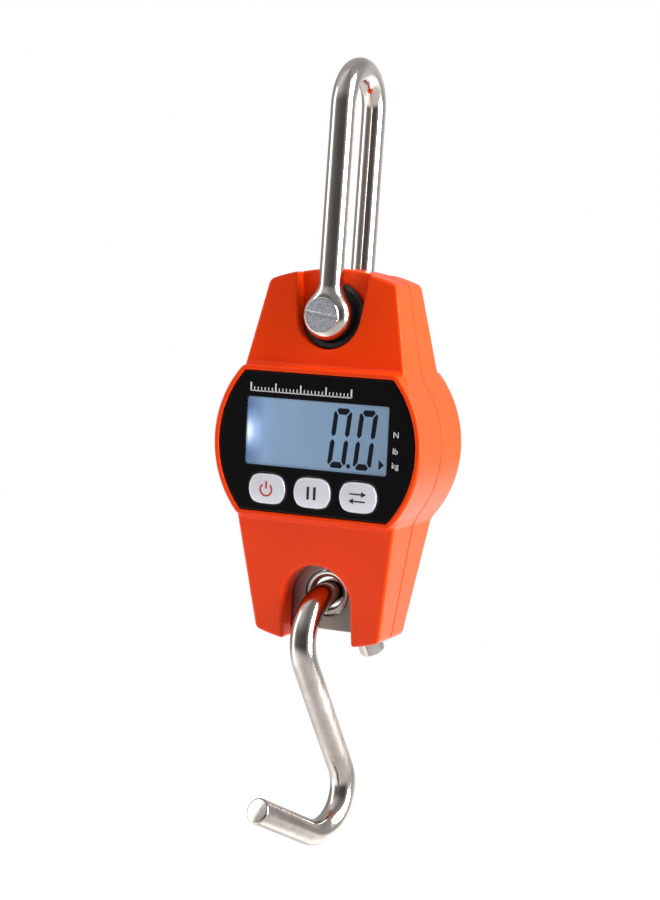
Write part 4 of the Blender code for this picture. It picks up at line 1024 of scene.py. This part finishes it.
def panel_print(finishes):
    """A generic graduated band above the window, and the unit names beside it."""
    first, last, low, high, count, long_each = -21.6, 10.8, 14.7, 17.3, 28, 7
    long_half, short_half = 0.22, 0.14
    shapes = []
    for i in range(count + 1):
        x = first + (last - first) * i / count
        if i % long_each == 0:
            shapes.append(rectangle(x, long_half, low, high))
        else:
            shapes.append(rectangle(x, short_half, low, (low + high) / 2))
    half = (last - first) / 2 + long_half
    shapes.append(rectangle((first + last) / 2, half, low - 0.05, low + long_half))
    band = plates(shapes, PLATE_LOW.y - 0.06, PLATE_LOW.y - 0.01)
    put("graduated_band", band, "housing", finishes["white_ink"])
    for text, x, z in (("N", 24.4, 4.3), ("lb", 24.45, -0.4), ("kg", 24.4, -4.55)):
        letters(text, x, z, finishes["white_ink"])


def letters(text, x, z, material):
    """A unit's name as thin raised print."""
    curve = bpy.data.curves.new("unit_" + text, "FONT")
    curve.body = text
    curve.size = 2.5
    curve.extrude = 0.025
    curve.resolution_u = 3
    points, faces = evaluated(linked("unit_" + text, curve))
    points = [(x + right, PLATE_LOW.y - 0.035 - out, z + up) for right, up, out in points]
    put("unit_name_" + text, (points, faces), "housing", material)


def push_buttons(finishes):
    for name in BUTTONS:
        body = name.replace("button_", "") + "_button"
        field = button_field(name)
        solid(name + "_cap", name, field, 0.17, 0.3, body, finishes["pearl"])
        strokes = button_icon(name, BUTTON_X[name], BUTTON_Z)
        icon = bands(strokes, lambda x, z: crown(x, z, name) - BUTTON_FRONT - 0.035, 0.065)
        colour = finishes["red_ink" if name == "button_power" else "dark_ink"]
        put(name + "_icon", icon, body, colour)


def bar(from_x, from_z, to_x, to_z, half, end_half=None, steps=8):
    """The two edges of a straight stroke, in short pieces so that it can follow a curved face."""
    start, end = Vector((from_x, from_z)), Vector((to_x, to_z))
    across = (end - start).orthogonal().normalized()
    grow = (end_half or half) - half
    places = [(start.lerp(end, i / steps), half + grow * i / steps) for i in range(steps + 1)]
    return [[tuple(place + across * side * wide) for place, wide in places] for side in (1, -1)]


def button_icon(name, cx, cz):
    """Power ring, hold bars, or two arrows that point apart."""
    if name == "button_power":
        start, end = math.radians(130), math.radians(410)
        ring = [arc(cx, cz - 0.2, radius, start, end, 28) for radius in (1.6, 2.1)]
        return [ring, bar(cx, cz + 0.1, cx, cz + 2.4, 0.26)]
    if name == "button_hold":
        return [bar(cx + off, cz - 1.9, cx + off, cz + 1.9, 0.42) for off in (-1.05, 1.05)]
    strokes = []
    for side in (-1, 1):
        level, tip, root = cz + side * 1.05, cx + side * 2.7, cx + side * 1.2
        strokes.append(bar(cx - side * 2.5, level, root, level, 0.22))
        strokes.append(bar(root + side * 0.01, level, tip, level, 0.85, 0.05))
    return strokes


def hanging_hardware(finishes):
    box = (-8, -19, 30), (11, 19, BOW_HIGH.z + 0.5)
    solid(
        "shackle", "shackle_bow", shackle_field, 0.41, None, "shackle",
        finishes["shackle"], box,
    )
    solid("slotted_pin", "pin_screw", pin_field, 0.2, 0.5, "shackle", finishes["pin"])
    box = (-CELL_HALF_X, -CELL_HALF_Y, -57), (CELL_HALF_X, CELL_HALF_Y, 48.5)
    solid(
        "load_plate", "load_cell", cell_field, 0.3, 0.2, "housing", finishes["plate"], box
    )
    for end, side in (("front", -1), ("rear", 1)):
        solid(
            "spacer_collar_" + end, "spacer_washer_" + end, washer_field(side), 0.28, 0.25, "housing",
            finishes["black"],
        )
    put("wear_ring", bush_mesh(), "hook_ring", finishes["ring"], ["hook_bush"])
    put("hook_rod", hook_mesh(), "hook", finishes["hook"], ["s_hook"])


def rear_screws(finishes):
    points, faces, normals = field_mesh(screw_field, (-2.6, -13.4, -2.6), (2.6, 1.7, 2.6), 0.14, 0.3)
    for number, (x, z) in enumerate(SHELL_SCREWS, 1):
        node = "housing_screw_%d" % number
        moved = points + np.array([x, box_mm(node)[1].y - 1.5, z])
        put(
            "rear_screw_%d" % number, (moved, faces), "housing", finishes["zinc"], [node],
            normals,
        )


# ---- stage


def camera():
    """The photograph's view: from the right and a little above, through a long lens."""
    azimuth, elevation, roll = math.radians(23.989), math.radians(5.561), math.radians(2.755)
    distance, shift_x, shift_z = 590.8, -2.47, -2.36
    level = Vector((math.cos(azimuth), math.sin(azimuth), 0))
    ahead = Vector((math.sin(azimuth), -math.cos(azimuth), 0))
    back = ahead * math.cos(elevation) + Vector((0, 0, math.sin(elevation)))
    rise = back.cross(level)
    right = level * math.cos(roll) + rise * math.sin(roll)
    up = rise * math.cos(roll) - level * math.sin(roll)
    data = bpy.data.cameras.new("camera")
    data.sensor_width, data.lens = 36.0, 78.79
    eye = linked("camera", data)
    eye.matrix_world = Matrix((right, up, back)).transposed().to_4x4()
    eye.location = MIDDLE + (back * distance + right * shift_x + up * shift_z) * MM
    bpy.context.scene.camera = eye


def floor():
    """A large round floor far below the hanging scale."""
    bm = bmesh.new()
    bmesh.ops.create_circle(bm, cap_ends=True, segments=96, radius=4.0)
    mesh = bpy.data.meshes.new("floor")
    bm.to_mesh(mesh)
    bm.free()
    ground = linked("floor", mesh)
    ground.location = (0, 0, -0.95)
    ground.visible_diffuse = False
    ground.visible_glossy = False
    made = Finish("floor_paint", (0.9, 0.9, 0.9), 0.9)
    made.bump(made.noise(8.0), 0.001, 0.1)
    made.set(Emission_Color=(1, 1, 1, 1), Emission_Strength=0.55)
    mesh.materials.append(made.material)


def softbox(name, azimuth, rise, width, height, light, distance=0.9):
    """A tall soft lamp beside the scale. Azimuth 0 is in front of it and 90 to its right."""
    data = bpy.data.lights.new(name, "AREA")
    data.shape = "RECTANGLE"
    data.size, data.size_y = width, height
    data.energy = light * math.pi * width * height
    lamp = linked(name, data)
    turn = math.radians(azimuth)
    back = Vector((math.sin(turn), -math.cos(turn), 0))
    lamp.location = MIDDLE + back * distance + Vector((0, 0, rise))
    lamp.rotation_euler = back.to_track_quat("Z", "Y").to_euler()
    lamp.visible_camera = False


# The studio's walls: (azimuth in degrees, brightness) below the scale, level with it and above it
WALLS_LOW = [
    (-180, 1.6), (-160, 1.0), (-100, 1.1), (-50, 1.9), (-15, 1.1),
    (20, 0.8), (70, 0.9), (110, 0.9), (140, 2.2), (180, 2.0),
]
WALLS_LEVEL = [
    (-180, 0.8), (-160, 0.5), (-120, 0.33), (-88, 0.45), (-50, 0.5), (-36, 0.22),
    (5, 0.11), (48, 0.09), (66, 0.45), (112, 0.55), (138, 0.45), (158, 0.8), (180, 0.8),
]
WALLS_HIGH = [
    (-180, 0.5), (-160, 0.5), (-100, 0.55), (-55, 1.0), (-20, 0.65),
    (15, 0.32), (45, 0.3), (90, 0.45), (150, 0.4), (180, 0.5),
]


def surroundings():
    """White for the camera. What the metal mirrors is a studio with dark and light walls all round."""
    world = bpy.data.worlds.new("studio")
    bpy.context.scene.world = world
    world.use_nodes = True
    world.node_tree.nodes.clear()
    made = Nodes(world.node_tree)
    way = made.split(made.node("TexCoord").outputs["Generated"])
    turn = made.maths("ARCTAN2", way["X"], made.maths("MULTIPLY", way["Y"], -1.0))
    around = made.ranged(turn, 0.0, 1.0, -math.pi, math.pi)
    rows = []
    for row in (WALLS_LOW, WALLS_LEVEL, WALLS_HIGH):
        stops = [((azimuth + 180) / 360, (light, light, light)) for azimuth, light in row]
        rows.append(made.colours(around, stops))
    light = rows[0]
    for row, start, end in ((rows[1], -0.42, -0.12), (rows[2], 0.2, 0.65)):
        rise = made.ranged(way["Z"], 0.0, 1.0, start, end, interpolation_type="SMOOTHSTEP")
        light = made.mixed(rise, light, row)
    studio = made.node("Background", {"Color": light}).outputs["Background"]
    paper = made.node("Background", {"Color": (1, 1, 1, 1)}).outputs["Background"]
    is_camera = made.node("LightPath").outputs["Is Camera Ray"]
    mix = made.node("MixShader", {"Fac": is_camera, 1: studio, 2: paper}).outputs["Shader"]
    made.node("OutputWorld", {"Surface": mix})


def main():
    bpy.context.scene.view_settings.view_transform = "Standard"
    finishes = make_materials()
    dress_cad_nodes(finishes)
    housings(finishes)
    front_panel(finishes)
    display_marks(finishes)
    panel_print(finishes)
    push_buttons(finishes)
    hanging_hardware(finishes)
    rear_screws(finishes)
    camera()
    floor()
    softbox("right_box", 92, 0.42, 0.56, 1.2, 15.0)
    softbox("left_box", -68, 0.0, 0.36, 1.3, 2.4)
    surroundings()


main()
